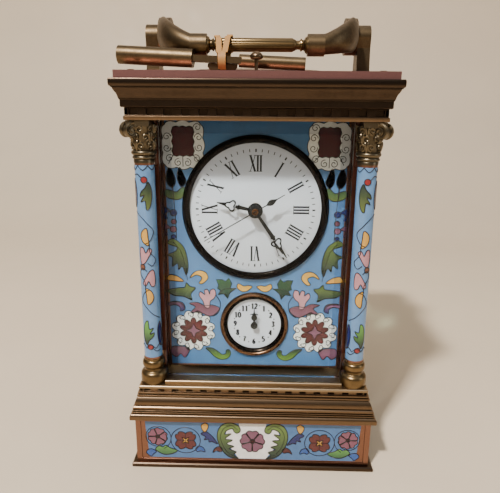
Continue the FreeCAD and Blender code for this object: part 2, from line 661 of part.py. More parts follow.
def make_entablature():
    """Architrave, notched strip, cornice and the loose top plate with its oval window."""
    well = (well_width, well_depth)
    lintel = centred_box("architrave_blank", size.case_width - size.architrave_inset * 2,
                         size.case_depth - size.architrave_inset * 2, column_high, upper_dentil_low)
    opening = centred_box("architrave_well", well[0], well[1], column_high - 1, upper_dentil_low + 1)
    pin_hole = rod("architrave_pin_hole", size.hinge_pin_radius + size.running_gap,
                   (hinge_x, hinge_y, column_high - 1), size.architrave_thick + 2, "z")
    bores = rod_bores("architrave", column_high - 1, upper_dentil_low + 1)
    node("architrave", cut("architrave_bored", lintel, opening, pin_hole, *bores))
    node("upper_dentil_band", dentil_band(
        "upper_dentils", size.upper_dentil_inset, upper_dentil_low, size.upper_dentil_rise,
        size.upper_dentil_count, size.upper_dentil_gap, well))
    cornice_well = (size.case_width - size.cornice_well_side * 2,
                    size.case_depth - size.cornice_well_end * 2)
    ring = moulding("cornice", CORNICE_PROFILE, cornice_low, size.cornice_rise,
                    size.cornice_inset, cornice_well)
    button_bore = size.button_stem_radius + size.running_gap
    cornice_hole = rod("cornice_button_hole", button_bore, (0, button_y, cornice_low - 1),
                       size.cornice_rise + 2, "z")
    node("cornice", cut("cornice_bored", ring, cornice_hole))
    slab = centred_box("top_blank", size.case_width - size.top_inset * 2,
                       size.case_depth - size.top_inset * 2, top_low, top_high)
    hole = oval("window_hole", size.fit_gap - size.window_lip, top_low - 1, top_high + 1)
    seat = oval("window_seat_cut", size.fit_gap, top_high - size.window_seat, top_high + 1)
    button_hole = rod("top_button_hole", button_bore, (0, button_y, top_low - 1),
                      size.top_thick + 2, "z")
    node("top_plate", cut("top", slab, hole, seat, button_hole))
    seat_low = top_high - size.window_seat
    pane = oval("window_blank", as_size(0), seat_low, seat_low + size.window_rise)
    doc.recompute()
    bevel = doc.addObject("Part::Chamfer", "window_bevelled")
    bevel.Base = pane
    top_edges = []
    for number, edge in enumerate(pane.Shape.Edges, start=1):
        middle = edge.BoundBox.Center
        if edge.BoundBox.ZLength < 1e-6 and middle.z > (seat_low + size.window_bevel).value:
            top_edges.append((number, size.window_bevel.value, size.window_bevel.value))
    bevel.Edges = top_edges
    node("top_window", bevel)


def oval(name, grow, low, high):
    """An upright prism on the window's ellipse, made larger or smaller by grow."""
    line = doc.addObject("Part::Ellipse", name + "_line")
    bind(line, "MajorRadius", size.window_width / 2 + grow)
    bind(line, "MinorRadius", size.window_depth / 2 + grow)
    place(line, 0, 0, low)
    prism = doc.addObject("Part::Extrusion", name)
    prism.Base = line
    prism.DirMode = "Custom"
    prism.Dir = FreeCAD.Vector(0, 0, 1)
    prism.Solid = True
    bind(prism, "LengthFwd", as_size(high) - low)
    return prism


dial_bore = size.hour_pipe_radius + size.clear_gap


def make_dials():
    """The enamelled mask with two round dials let into it and a bezel round each."""
    half = post_inner - size.clear_gap
    back = mask_y + size.mask_thick
    blank = box("mask_blank", (-half, half), (mask_y, back),
                (mask_foot, column_high - size.fit_gap * 2))
    main = (as_size(0), main_dial_rise)
    alarm = (as_size(0), alarm_dial_rise)
    holes = []
    for word, centre, radius in (
        ("main", main, size.main_dial_radius), ("alarm", alarm, size.alarm_dial_radius),
    ):
        holes.append(rod(word + "_mask_hole", radius + size.fit_gap,
                         (centre[0], mask_y - 1, centre[1]), size.mask_thick + 2, "y"))
    node("dial_mask", cut("mask", blank, *holes))
    dial_y = mask_y + (size.mask_thick - size.dial_thick)
    facing = FreeCAD.Rotation(FreeCAD.Vector(1, 0, 0), -90)
    for word, centre, radius, bezel_radius, bezel_width, bezel_thick, bore in (
        ("main", main, size.main_dial_radius, main_bezel_radius, size.main_bezel_width,
         size.main_bezel_thick, dial_bore),
        ("alarm", alarm, size.alarm_dial_radius, alarm_bezel_radius, size.alarm_bezel_width,
         size.alarm_bezel_thick, size.plain_arbor_radius + size.fit_gap),
    ):
        disc = [(bore, 0), (radius, 0), (radius, size.dial_thick), (bore, size.dial_thick)]
        node(word + "_dial", turned(word + "_disc", disc, (centre[0], dial_y, centre[1]), facing))
        inner = bezel_radius - bezel_width
        ring = [
            (inner, 0), (inner + bezel_width * 0.35, -bezel_thick * 0.75),
            (inner + bezel_width * 0.6, -bezel_thick), (inner + bezel_width * 0.85, -bezel_thick * 0.85),
            (bezel_radius, -bezel_thick * 0.3), (bezel_radius, 0),
        ]
        node(word + "_bezel", turned(word + "_ring", ring, (centre[0], mask_y, centre[1]), facing))


def spoke_windows(hub, rim, thick):
    """The four openings between a wheel's crossed arms."""
    origin = FreeCAD.Vector(0, 0, 0)
    axis = FreeCAD.Vector(0, 1, 0)
    ring = Part.makeCylinder(rim, thick, origin, axis).cut(Part.makeCylinder(hub, thick, origin, axis))
    half_bar = rim * 0.1
    for turn in (45, 135):
        bar = Part.makeBox(2 * rim, thick, 2 * half_bar, FreeCAD.Vector(-rim, 0, -half_bar))
        bar.rotate(origin, axis, turn)
        ring = ring.cut(bar)
    return ring


def tooth_wheel(teeth, module, centre, low, thick, bore, spoke=False, turn=0.0):
    """A toothed wheel on a y axis: straight-sided teeth with rounded-off tips, and a round bore.

    turn is the place of one tooth's centre, in degrees from +x towards +z.
    """
    pitch = module * teeth / 2
    tip = pitch + module * 0.92
    root = pitch - module * 1.15
    step = 2 * math.pi / teeth
    points = []
    for index in range(teeth):
        middle = math.radians(turn) + index * step
        for share, radius in ((-0.29, root), (-0.2, pitch), (-0.09, tip), (0.09, tip),
                              (0.2, pitch), (0.29, root)):
            angle = middle + share * step
            points.append(FreeCAD.Vector(radius * math.cos(angle), 0, radius * math.sin(angle)))
    face = Part.Face(Part.makePolygon(points + points[:1]))
    solid = face.extrude(FreeCAD.Vector(0, thick, 0))
    axis = FreeCAD.Vector(0, 1, 0)
    if bore > 0:
        solid = solid.cut(Part.makeCylinder(bore, thick + 2, FreeCAD.Vector(0, -1, 0), axis))
    if spoke:
        rim = root - module * 1.6
        solid = solid.cut(spoke_windows(rim * 0.26, rim, thick))
    solid.translate(FreeCAD.Vector(centre[0], low, centre[1]))
    return solid


def bar_y(radius, centre, low, high):
    """A plain arbor on a y axis."""
    return Part.makeCylinder(radius, high - low, FreeCAD.Vector(centre[0], low, centre[1]),
                             FreeCAD.Vector(0, 1, 0))


def shaped(label, shape):
    """A sub-part whose Shape is made by Part's own functions."""
    thing = doc.addObject("Part::Feature", label)
    thing.Shape = shape
    thing.Placement = shape.Placement
    return node(label, thing)


# the train's teeth, and where its axes stand
BARREL_TEETH, CENTRE_PINION = 60, 10
CENTRE_TEETH, THIRD_PINION = 64, 8
THIRD_TEETH, SECONDS_PINION = 60, 8
CANNON_TEETH, MOTION_TEETH = 12, 36
MOTION_PINION, HOUR_TEETH = 10, 40
ESCAPE_TEETH, ESCAPE_LEAVES = 15, 8

dial_centre = (0.0, main_dial_rise.value)
train_distance = size.train_module.value * (CENTRE_TEETH + THIRD_PINION) / 2
third_module = 2 * train_distance / (THIRD_TEETH + SECONDS_PINION)
third_angle = math.radians(size.third_turn.value)
third_centre = (dial_centre[0] + train_distance * math.cos(third_angle),
                dial_centre[1] + train_distance * math.sin(third_angle))
barrel_distance = size.barrel_module.value * (BARREL_TEETH + CENTRE_PINION) / 2
barrel_centre = (
    size.barrel_across.value,
    dial_centre[1] - math.sqrt(barrel_distance ** 2 - size.barrel_across.value ** 2),
)
barrel_angle = math.degrees(math.atan2(barrel_centre[1] - dial_centre[1],
                                       barrel_centre[0] - dial_centre[0]))
motion_distance = size.motion_module.value * (CANNON_TEETH + MOTION_TEETH) / 2
hour_module = 2 * motion_distance / (MOTION_PINION + HOUR_TEETH)
motion_angle = math.radians(size.motion_turn.value)
motion_centre = (dial_centre[0] + motion_distance * math.cos(motion_angle),
                 dial_centre[1] + motion_distance * math.sin(motion_angle))
alarm_centre = (0.0, alarm_dial_rise.value)
alarm_barrel_centre = (size.alarm_barrel_across.value, (deck_high + size.alarm_barrel_lift).value)
square_bore = size.square_side / 2 * math.sqrt(2)
hammer_centre = (size.hammer_across.value, (deck_high + size.hammer_pivot_lift).value)

front_plate_back = front_plate_front + size.plate_thick
back_plate_back = back_plate_front + size.plate_thick


def make_movement_frame():
    """Two brass plates, their pillars and the platform that carries the escapement."""
    half = plate_width / 2
    gap = size.running_gap
    bored = {
        "front_movement_plate": (front_plate_front, [
            (dial_centre, size.centre_arbor_radius), (third_centre, size.plain_arbor_radius),
            (barrel_centre, size.plain_arbor_radius), (alarm_centre, size.plain_arbor_radius),
            (alarm_barrel_centre, size.plain_arbor_radius), (hammer_centre, size.plain_arbor_radius),
        ]),
        "back_movement_plate": (back_plate_front, [
            (dial_centre, size.seconds_arbor_radius), (third_centre, size.plain_arbor_radius),
            (barrel_centre, square_bore), (alarm_centre, size.plain_arbor_radius),
            (alarm_barrel_centre, square_bore),
            (hammer_centre, size.plain_arbor_radius),
        ]),
    }
    for label, (front, bores) in bored.items():
        blank = box(label + "_blank", (-half, half), (front, front + size.plate_thick),
                    (deck_high, plate_top))
        holes = []
        for index, (centre, radius) in enumerate(bores):
            holes.append(rod("%s_hole_%d" % (label, index), radius + gap,
                             (centre[0], front - 1, centre[1]), size.plate_thick + 2, "y"))
        plate = cut(label + "_bored", blank, *holes)
        if label == "front_movement_plate":
            stud = rod("motion_stud", size.plain_arbor_radius,
                       (motion_centre[0], front - size.motion_stud_length, motion_centre[1]),
                       size.motion_stud_length + size.plate_thick / 2, "y")
            plate = fuse("plate_with_stud", plate, stud)
        node(label, plate)
    pillars = []
    pillar_x = half - size.pillar_inset
    for rise in (deck_high + size.pillar_low_lift, plate_top - size.pillar_high_drop):
        for sign in (-1, 1):
            pillars.append(rod("pillar_%d" % len(pillars), size.pillar_radius,
                               (pillar_x * sign, front_plate_back, rise),
                               back_plate_front - front_plate_back, "y"))
    node("plate_pillars", group("pillars", pillars))
    platform_half = size.platform_width / 2
    slab = box("platform_blank", (-platform_half, platform_half),
               (front_plate_front, back_plate_back),
               (plate_top, plate_top + size.platform_thick))
    holes = []
    for index, back in enumerate((balance_y, lever_y, escape_y)):
        holes.append(rod("platform_hole_%d" % index, size.seconds_arbor_radius + gap,
                         (0, back, plate_top - 1), size.platform_thick + 2, "z"))
    node("platform_plate", cut("platform", slab, *holes))


def hand_blade(length, turn, front, bore, width, ring_share, ring_radius, tail=0.0):
    """A flat hand with a pierced loop, on a y axis through the dial's centre."""
    thick = size.hand_thick.value
    hub = bore + 0.9
    axis = FreeCAD.Vector(0, 1, 0)
    loop_place = length * ring_share
    root_half = width * 0.7
    outline = [
        (-root_half, 0), (-width * 0.5, loop_place), (-width * 0.45, length * 0.93), (0, length),
        (width * 0.45, length * 0.93), (width * 0.5, loop_place), (root_half, 0),
    ]
    points = [FreeCAD.Vector(u, 0, v) for u, v in outline]
    blade = Part.Face(Part.makePolygon(points + points[:1])).extrude(axis * thick)
    loop_centre = FreeCAD.Vector(0, 0, loop_place)
    blade = blade.fuse(Part.makeCylinder(ring_radius, thick, loop_centre, axis))
    if tail > 0:
        blade = blade.fuse(Part.makeBox(width, thick, tail, FreeCAD.Vector(-width / 2, 0, -tail)))
        drop = FreeCAD.Vector(0, 0, -tail * 0.6)
        blade = blade.fuse(Part.makeCylinder(ring_radius * 1.6, thick, drop, axis))
    else:
        eye_centre = FreeCAD.Vector(0, -1, loop_place)
        blade = blade.cut(Part.makeCylinder(ring_radius * 0.5, thick + 2, eye_centre, axis))
    blade = blade.fuse(Part.makeCylinder(hub, thick, FreeCAD.Vector(0, 0, 0), axis))
    if bore > 0:
        blade = blade.cut(Part.makeCylinder(bore, thick + 2, FreeCAD.Vector(0, -1, 0), axis))
    blade.rotate(FreeCAD.Vector(0, 0, 0), axis, turn)
    return blade.removeSplitter()


def on_dial(shape, front, centre):
    """Move a hand from the origin to its dial."""
    shape.translate(FreeCAD.Vector(centre[0], front, centre[1]))
    return shape


def make_motion_work():
    """Cannon pinion, motion wheel and hour wheel behind the dial, with the hands they carry."""
    gap = size.running_gap.value
    cannon_bore = size.centre_arbor_radius.value + gap
    cannon_r = size.cannon_radius.value
    pipe_bore = cannon_r + gap
    pipe_r = size.hour_pipe_radius.value
    plate = front_plate_front.value
    turn = size.motion_turn.value
    cannon_low = plate - 2.6
    cannon = tooth_wheel(CANNON_TEETH, size.motion_module.value, dial_centre, cannon_low, 1.6, 0,
                         turn=turn)
    hand_y = minute_hand_front.value
    cannon = cannon.fuse(bar_y(cannon_r, dial_centre, hand_y, plate - 0.8))
    cannon = cannon.cut(bar_y(cannon_bore, dial_centre, hand_y - 1, plate))
    shaped("cannon_pinion", cannon)
    motion = tooth_wheel(MOTION_TEETH, size.motion_module.value, motion_centre, cannon_low + 0.2, 1.1,
                         0, turn=turn + 180 + 180.0 / MOTION_TEETH)
    hour_low = cannon_low - 2.4
    pinion_turn = turn + 180
    motion = motion.fuse(tooth_wheel(MOTION_PINION, hour_module, motion_centre, hour_low - 0.3, 2.9,
                                     0, turn=pinion_turn))
    stud = size.plain_arbor_radius.value
    motion = motion.cut(bar_y(stud + gap, motion_centre, hour_low - 2, plate))
    shaped("motion_wheel", motion)
    hour = tooth_wheel(HOUR_TEETH, hour_module, dial_centre, hour_low, 1.0, 0,
                       turn=turn + 180.0 / HOUR_TEETH)
    hour_y = hour_hand_front.value
    hour = hour.fuse(bar_y(pipe_r, dial_centre, hour_y, hour_low + 1.0))
    hour = hour.cut(bar_y(pipe_bore, dial_centre, hour_y - 1, plate))
    shaped("hour_wheel", hour)
    thick = size.hand_thick.value
    hour_reach = size.main_dial_radius - size.hour_hand_short
    hour_hand = hand_blade(hour_reach.value, size.hour_hand_turn.value, hour_y,
                           pipe_r - 0.35, 0.9, 0.62, 1.5)
    shaped("hour_hand", on_dial(hour_hand, hour_y - thick, dial_centre))
    minute_reach = size.main_dial_radius - size.minute_hand_short
    minute_hand = hand_blade(minute_reach.value, size.minute_hand_turn.value, hand_y,
                             cannon_r - 0.35, 0.9, 0.7, 1.5)
    shaped("minute_hand", on_dial(minute_hand, hand_y - thick, dial_centre))


def make_train():
    """The going train between the plates, from the barrel to the seconds arbor."""
    gap = size.running_gap.value
    front_in = front_plate_back.value
    back_in = back_plate_front.value
    plate_back = back_plate_back.value
    plain = size.plain_arbor_radius.value
    pin_half = size.square_side.value / 2
    wheel_y = front_in + size.wheel_gap.value
    drum_low = front_in + size.drum_gap.value
    drum_high = drum_low + size.barrel_drum_length.value

    barrel = tooth_wheel(BARREL_TEETH, size.barrel_module.value, barrel_centre, drum_low - 1.8, 1.8, 0,
                         turn=barrel_angle + 180 + 180.0 / BARREL_TEETH)
    barrel = barrel.fuse(bar_y(size.barrel_drum_radius.value, barrel_centre, drum_low, drum_high))
    barrel = barrel.fuse(bar_y(plain, barrel_centre, front_in - size.plate_thick.value, back_in))
    square_length = plate_back + size.square_reach.value - drum_high
    square = Part.makeBox(2 * pin_half, square_length, 2 * pin_half, FreeCAD.Vector(
        barrel_centre[0] - pin_half, drum_high, barrel_centre[1] - pin_half))
    shaped("time_barrel", barrel.fuse(square).removeSplitter())

    centre_r = size.centre_arbor_radius.value
    bore = size.seconds_arbor_radius.value + gap
    tube_front = minute_hand_front.value + size.hand_thick.value
    tube_back = drum_high + 1.0
    centre = tooth_wheel(CENTRE_TEETH, size.train_module.value, dial_centre, wheel_y, 1.0, 0,
                         spoke=True, turn=size.third_turn.value)
    centre = centre.fuse(tooth_wheel(CENTRE_PINION, size.barrel_module.value, dial_centre,
                                     drum_low - 3.0, 4.0, 0, turn=barrel_angle))
    centre = centre.fuse(bar_y(centre_r, dial_centre, tube_front, drum_low + 1.6))
    centre = centre.cut(bar_y(bore, dial_centre, tube_front - 1, tube_back))
    shaped("centre_arbor", centre)

    third_wheel_y = drum_high + size.third_wheel_gap.value
    third = tooth_wheel(THIRD_TEETH, third_module, third_centre, third_wheel_y, 0.9, 0, spoke=True,
                        turn=size.third_turn.value + 180)
    third = third.fuse(tooth_wheel(THIRD_PINION, size.train_module.value, third_centre,
                                   wheel_y - 0.6, 2.2, 0,
                                   turn=size.third_turn.value + 180 + 180.0 / THIRD_PINION))
    third = third.fuse(bar_y(plain, third_centre, front_in - size.plate_thick.value, plate_back))
    shaped("third_wheel", third)

    contrate_y = third_wheel_y + size.contrate_gap.value
    contrate_radius = size.contrate_radius.value
    seconds = tooth_wheel(SECONDS_PINION, third_module, dial_centre, third_wheel_y - 0.6, 2.2, 0,
                          turn=size.third_turn.value + 180.0 / SECONDS_PINION)
    disc = bar_y(contrate_radius, dial_centre, contrate_y, contrate_y + 0.9)
    windows = spoke_windows(contrate_radius * 0.2, contrate_radius * 0.84, 0.9)
    windows.translate(FreeCAD.Vector(dial_centre[0], contrate_y, dial_centre[1]))
    disc = disc.cut(windows)
    crown = bar_y(contrate_radius, dial_centre, contrate_y + 0.9, contrate_y + 1.9)
    crown = crown.cut(bar_y(contrate_radius - 1.2, dial_centre, contrate_y, contrate_y + 3))
    seconds = seconds.fuse(disc).fuse(crown)
    arbor_r = size.seconds_arbor_radius.value
    seconds = seconds.fuse(bar_y(arbor_r, dial_centre, seconds_hand_front.value + 0.01, plate_back))
    shaped("seconds_arbor", seconds)
    seconds_y = seconds_hand_front.value
    seconds_reach = size.main_dial_radius - size.seconds_hand_short
    blade = hand_blade(seconds_reach.value, size.seconds_hand_turn.value, seconds_y, 0,
                       0.35, 0.3, 0.3, tail=12.0)
    cap = Part.makeCylinder(1.2, size.hand_thick.value, FreeCAD.Vector(0, 0, 0),
                            FreeCAD.Vector(0, 1, 0))
    blade = blade.fuse(cap)
    shaped("seconds_hand", on_dial(blade, seconds_y - size.hand_thick.value, dial_centre))


def make_alarm_work():
    """Alarm barrel, alarm hand with its setting arbor, hammer and bell."""
    front_in = front_plate_back.value
    back_in = back_plate_front.value
    plate_back = back_plate_back.value
    plain = size.plain_arbor_radius.value
    pin_half = size.square_side.value / 2
    drum_low = front_in + size.drum_gap.value
    drum_high = drum_low + size.barrel_drum_length.value
    drum = bar_y(size.alarm_drum_radius.value, alarm_barrel_centre, drum_low, drum_high)
    drum = drum.fuse(bar_y(plain, alarm_barrel_centre, front_in - size.plate_thick.value, back_in))
    square_length = plate_back + size.square_reach.value - drum_high
    square = Part.makeBox(2 * pin_half, square_length, 2 * pin_half, FreeCAD.Vector(
        alarm_barrel_centre[0] - pin_half, drum_high, alarm_barrel_centre[1] - pin_half))
    shaped("alarm_barrel", drum.fuse(square).removeSplitter())

    thick = size.hand_thick.value
    front = (mask_y - size.alarm_hand_ahead).value
    arbor = bar_y(plain, alarm_centre, front, plate_back + 1.0)
    knob = bar_y(plain * 4, alarm_centre, plate_back + 1.0, plate_back + 4.0)
    shaped("alarm_setting_arbor", arbor.fuse(knob))
    blade = hand_blade((size.alarm_dial_radius - size.alarm_hand_short).value, 0, front, 0, 0.5, 0.55, 0.7)
    shaped("alarm_hand", on_dial(blade, front - thick, alarm_centre))

    bell_profile = [
        (1.0, size.bell_rise), (size.bell_radius * 0.45, size.bell_rise * 0.97),
        (size.bell_radius * 0.82, size.bell_rise * 0.75), (size.bell_radius * 0.95, size.bell_rise * 0.4),
        (size.bell_radius, 0), (size.bell_radius - size.bell_wall, 0),
        (size.bell_radius * 0.95 - size.bell_wall, size.bell_rise * 0.38),
        (size.bell_radius * 0.8 - size.bell_wall, size.bell_rise * 0.75 - size.bell_wall),
        (size.bell_radius * 0.43, size.bell_rise * 0.97 - size.bell_wall),
        (1.0, size.bell_rise - size.bell_wall),
    ]
    bell_low = size.bottom_thick + size.bell_foot
    node("bell", turned("bell_shell", bell_profile, (0, 0, bell_low)))
    post_top = bell_low + size.bell_rise
    stem = rod("bell_stem", size.bell_stud_radius, (0, 0, size.bottom_thick),
               post_top - size.bottom_thick, "z")
    shoulder = rod("bell_shoulder", size.bell_shoulder_radius, (0, 0, size.bottom_thick),
                   size.bell_foot + size.bell_rise - size.bell_wall - size.fit_gap, "z")
    nut = rod("bell_nut", size.bell_nut_radius, (0, 0, post_top + size.running_gap), size.bell_nut_thick, "z")
    nut_stem = rod("bell_nut_stem", size.bell_stud_radius, (0, 0, post_top - 1),
                   size.bell_nut_thick + 1, "z")
    node("bell_post", fuse("bell_post_solid", stem, shoulder, nut, nut_stem))

    head_r = size.hammer_head_radius.value
    head_z = (bell_low + size.hammer_head_lift).value
    head_x = -(size.bell_radius + size.hammer_gap).value - head_r
    arbor = bar_y(plain, hammer_centre, front_in - size.plate_thick.value, plate_back)
    hub_half = size.hammer_hub_half.value
    hub = bar_y(plain * 2.4, hammer_centre, -hub_half, hub_half)
    foot = FreeCAD.Vector(head_x, 0, head_z)
    top = FreeCAD.Vector(hammer_centre[0], 0, hammer_centre[1])
    run = foot - top
    wire = Part.makeCylinder(size.hammer_wire_radius.value, run.Length, top, run)
    head = Part.makeCylinder(head_r, 2 * head_r, foot - FreeCAD.Vector(0, head_r, 0),
                             FreeCAD.Vector(0, 1, 0))
    shaped("alarm_hammer", arbor.fuse(hub).fuse(wire).fuse(head))


def make_escapement():
    """Balance, lever and escape wheel on the platform under the top window."""
    top = (plate_top + size.platform_thick).value
    arbor_r = size.seconds_arbor_radius.value
    up = FreeCAD.Vector(0, 0, 1)
    lever_low = top + size.lever_lift.value
    flat = size.lever_thick.value
    foot = top - size.staff_sunk.value
    middle = balance_y.value
    ring_low = top + size.balance_lift.value
    balance_r = size.balance_radius.value
    rim_wide = size.balance_rim.value
    ring = Part.makeCylinder(balance_r, 1.0, FreeCAD.Vector(0, middle, ring_low), up)
    ring = ring.cut(Part.makeCylinder(balance_r - rim_wide, 1.0, FreeCAD.Vector(0, middle, ring_low), up))
    arm_half = balance_r - rim_wide / 2
    arm = Part.makeBox(2 * arm_half, 1.4, 0.8, FreeCAD.Vector(-arm_half, middle - 0.7, ring_low + 0.1))
    staff = Part.makeCylinder(arbor_r, size.staff_length.value, FreeCAD.Vector(0, middle, foot), up)
    roller_low = lever_low + flat + size.roller_gap.value
    roller = Part.makeCylinder(size.roller_radius.value, flat, FreeCAD.Vector(0, middle, roller_low), up)
    shaped("balance_wheel", ring.fuse(arm).fuse(staff).fuse(roller))

    back = lever_y.value
    reach = size.lever_length.value
    body = Part.makeBox(1.0, reach, flat, FreeCAD.Vector(-0.5, back - reach, lever_low))
    fork = Part.makeBox(2.4, 1.0, flat, FreeCAD.Vector(-1.2, back - reach - 0.2, lever_low))
    span = size.pallet_span.value
    pallets = Part.makeBox(span, 1.0, flat, FreeCAD.Vector(-span / 2, back - 0.5, lever_low))
    pivot = Part.makeCylinder(arbor_r, size.lever_staff_length.value, FreeCAD.Vector(0, back, foot), up)
    shaped("pallet_lever", body.fuse(fork).fuse(pallets).fuse(pivot).removeSplitter())

    radius = size.escape_radius.value
    centre = FreeCAD.Vector(0, escape_y.value, 0)
    points = []
    step = 2 * math.pi / ESCAPE_TEETH
    for index in range(ESCAPE_TEETH):
        angle = index * step
        for share, tooth_reach in ((0.0, radius), (0.12, radius), (0.3, radius * 0.72), (0.9, radius * 0.72)):
            turn = angle + share * step
            points.append(FreeCAD.Vector(tooth_reach * math.cos(turn), tooth_reach * math.sin(turn), 0))
    wheel = Part.Face(Part.makePolygon(points + points[:1])).extrude(up * flat)
    wheel.translate(centre + up * lever_low)
    arbor_low = dial_centre[1] + (size.contrate_radius - size.escape_arbor_drop).value
    arbor_length = top + size.escape_arbor_rise.value - arbor_low
    arbor = Part.makeCylinder(arbor_r, arbor_length, centre + up * arbor_low, up)
    leaves = []
    for index in range(ESCAPE_LEAVES):
        leaf = Part.makeBox(1.05, 0.34, size.escape_leaf_length.value, FreeCAD.Vector(0, -0.17, 0))
        leaf.rotate(FreeCAD.Vector(0, 0, 0), up, 360 / ESCAPE_LEAVES * index)
        leaf.translate(centre + up * arbor_low)
        leaves.append(leaf)
    shaped("escape_wheel", wheel.fuse(arbor).fuse(leaves).removeSplitter())


def make_door():
    """The glazed back door: frame with pins at its hinge edge, pane and knob."""
    half = door_width / 2
    front = door_back - size.door_thick
    low = deck_high + size.clear_gap
    high = column_high - size.clear_gap
    rail = size.door_rail
    blank = box("door_blank", (-half, half), (front, door_back), (low, high))
    hole = box("door_hole", (rail - half, half - rail), (front - 1, door_back + 1),
               (low + rail, high - rail))
    pin_reach = size.clear_gap + size.deck_thick * 0.8
    low_pin = rod("door_low_pin", size.hinge_pin_radius, (hinge_x, hinge_y, low - pin_reach),
                  pin_reach + 2, "z")
    high_pin = rod("door_high_pin", size.hinge_pin_radius, (hinge_x, hinge_y, high - 2),
                   pin_reach + 2, "z")
    frame_solid = cut("door_frame_solid", blank, hole)
    node("door_frame", fuse("door_whole", frame_solid, low_pin, high_pin))
    gap = size.fit_gap
    node("door_glass", box("door_pane", (rail - half + gap, half - rail - gap),
                           (front + size.clear_gap, door_back - size.clear_gap),
                           (low + rail + gap, high - rail - gap)))
    knob_x = half - rail / 2
    knob_profile = [
        (0, 0), (size.knob_radius * 0.45, 0), (size.knob_radius * 0.45, size.knob_length * 0.4),
        (size.knob_radius, size.knob_length * 0.6), (size.knob_radius, size.knob_length * 0.85),
        (size.knob_radius * 0.6, size.knob_length), (0, size.knob_length),
    ]
    node("door_knob", turned("knob", knob_profile,
                             (knob_x, door_back, (low + high) / 2), AXIS_TURN["y"]))


post_x = handle_post_outer - size.handle_post_thick
ear_outer = post_x - size.ear_gap


def make_handle():
    """Two posts on the top plate and the folding handle between them."""
    foot = size.handle_post_foot / 2
    foot_top = size.handle_post_foot_rise
    knuckle = size.knuckle_radius
    outline = [
        (-foot, 0), (foot, 0), (foot, foot_top), (knuckle * 1.02, foot_top + 1.4),
        (knuckle * 0.86, size.handle_pivot_rise * 0.72), (knuckle, size.handle_pivot_rise),
        (-knuckle, size.handle_pivot_rise), (-knuckle * 0.86, size.handle_pivot_rise * 0.72),
        (-knuckle * 1.02, foot_top + 1.4), (-foot, foot_top),
    ]
    for word, sign in (("left", -1), ("right", 1)):
        inner = post_x if sign > 0 else -handle_post_outer
        slab = padded("post_slab_" + word, outline, size.handle_post_thick, "YZ_Plane",
                      (inner, 0, top_high))
        head = rod("post_head_" + word, knuckle, (inner, 0, pivot_rise), size.handle_post_thick, "x")
        hole = rod("post_hole_" + word, size.pivot_radius + size.running_gap,
                   (inner - 1, 0, pivot_rise), size.handle_post_thick + 2, "x")
        node("handle_post_" + word, cut("post_" + word, fuse("post_solid_" + word, slab, head), hole))
        make_arm(word, sign)
    reeded = size.reeded_half
    grip_r = size.grip_radius
    waist = size.waist_radius
    end = size.collar_place - size.collar_length
    half_profile = [
        (grip_r, reeded), (grip_r * 0.9, reeded + 0.6), (waist, reeded + 1.6), (waist, end - 0.6),
        (waist * 1.3, end),
    ]
    profile = [(0, -end)] + [(radius, -along) for radius, along in reversed(half_profile)]
    profile += half_profile + [(0, end)]
    node("handle_grip", turned("grip", profile, (0, grip_y, grip_z), AXIS_TURN["x"]))


def make_arm(word, sign):
    """One ear on its pivot, swept forward and inward to the collar at the grip's end."""
    inner = ear_outer - size.ear_thick
    start = inner if sign > 0 else -ear_outer
    boss = rod("ear_boss_" + word, size.ear_radius, (start, 0, pivot_rise), size.ear_thick, "x")
    pin_start = post_x - size.ear_gap - 1 if sign > 0 else -(handle_post_outer - 0.6)
    pin = rod("ear_pin_" + word, size.pivot_radius, (pin_start, 0, pivot_rise),
              size.handle_post_thick + size.ear_gap + 0.4, "x")
    collar_inner = size.collar_place - size.collar_length
    collar_start = collar_inner if sign > 0 else -size.collar_place
    collar = rod("ear_collar_" + word, size.collar_radius, (collar_start, grip_y, grip_z),
                 size.collar_length, "x")
    reach = size.collar_radius
    stations = [
        (0, ear_outer - size.ear_thick / 2, grip_y * 0.07, 0, size.ear_radius * 0.86,
         size.ear_thick * 0.48),
        (20, ear_outer - size.ear_thick * 0.72, grip_y * 0.4, -size.grip_drop * 0.1,
         size.ear_radius * 0.9, size.ear_thick * 0.6),
        (50, size.collar_place + 7.8, grip_y * 0.78, -size.grip_drop * 0.5, reach * 1.35, reach * 0.95),
        (90, size.collar_place - 1.2, grip_y, -size.grip_drop, reach * 0.87, reach * 0.87),
    ]
    sections = []
    for index, (lean, along, back, drop, upright, across) in enumerate(stations):
        ring = doc.addObject("Part::Ellipse", "ear_ring_%s_%d" % (word, index))
        bind(ring, "MajorRadius", as_size(upright) + size.fit_gap / 10)
        bind(ring, "MinorRadius", across)
        path = FreeCAD.Vector(-math.sin(math.radians(lean)) * sign, -math.cos(math.radians(lean)), 0)
        up = FreeCAD.Vector(0, 0, 1)
        place(ring, along * sign, back, pivot_rise + drop,
              FreeCAD.Rotation(up, path.cross(up), path, "XZY"))
        sections.append(ring)
    strap = doc.addObject("Part::Loft", "ear_strap_" + word)
    strap.Sections = sections
    strap.Solid = True
    strap.Ruled = False
    node("handle_arm_" + word, fuse("handle_arm_solid_" + word, boss, pin, collar, strap))


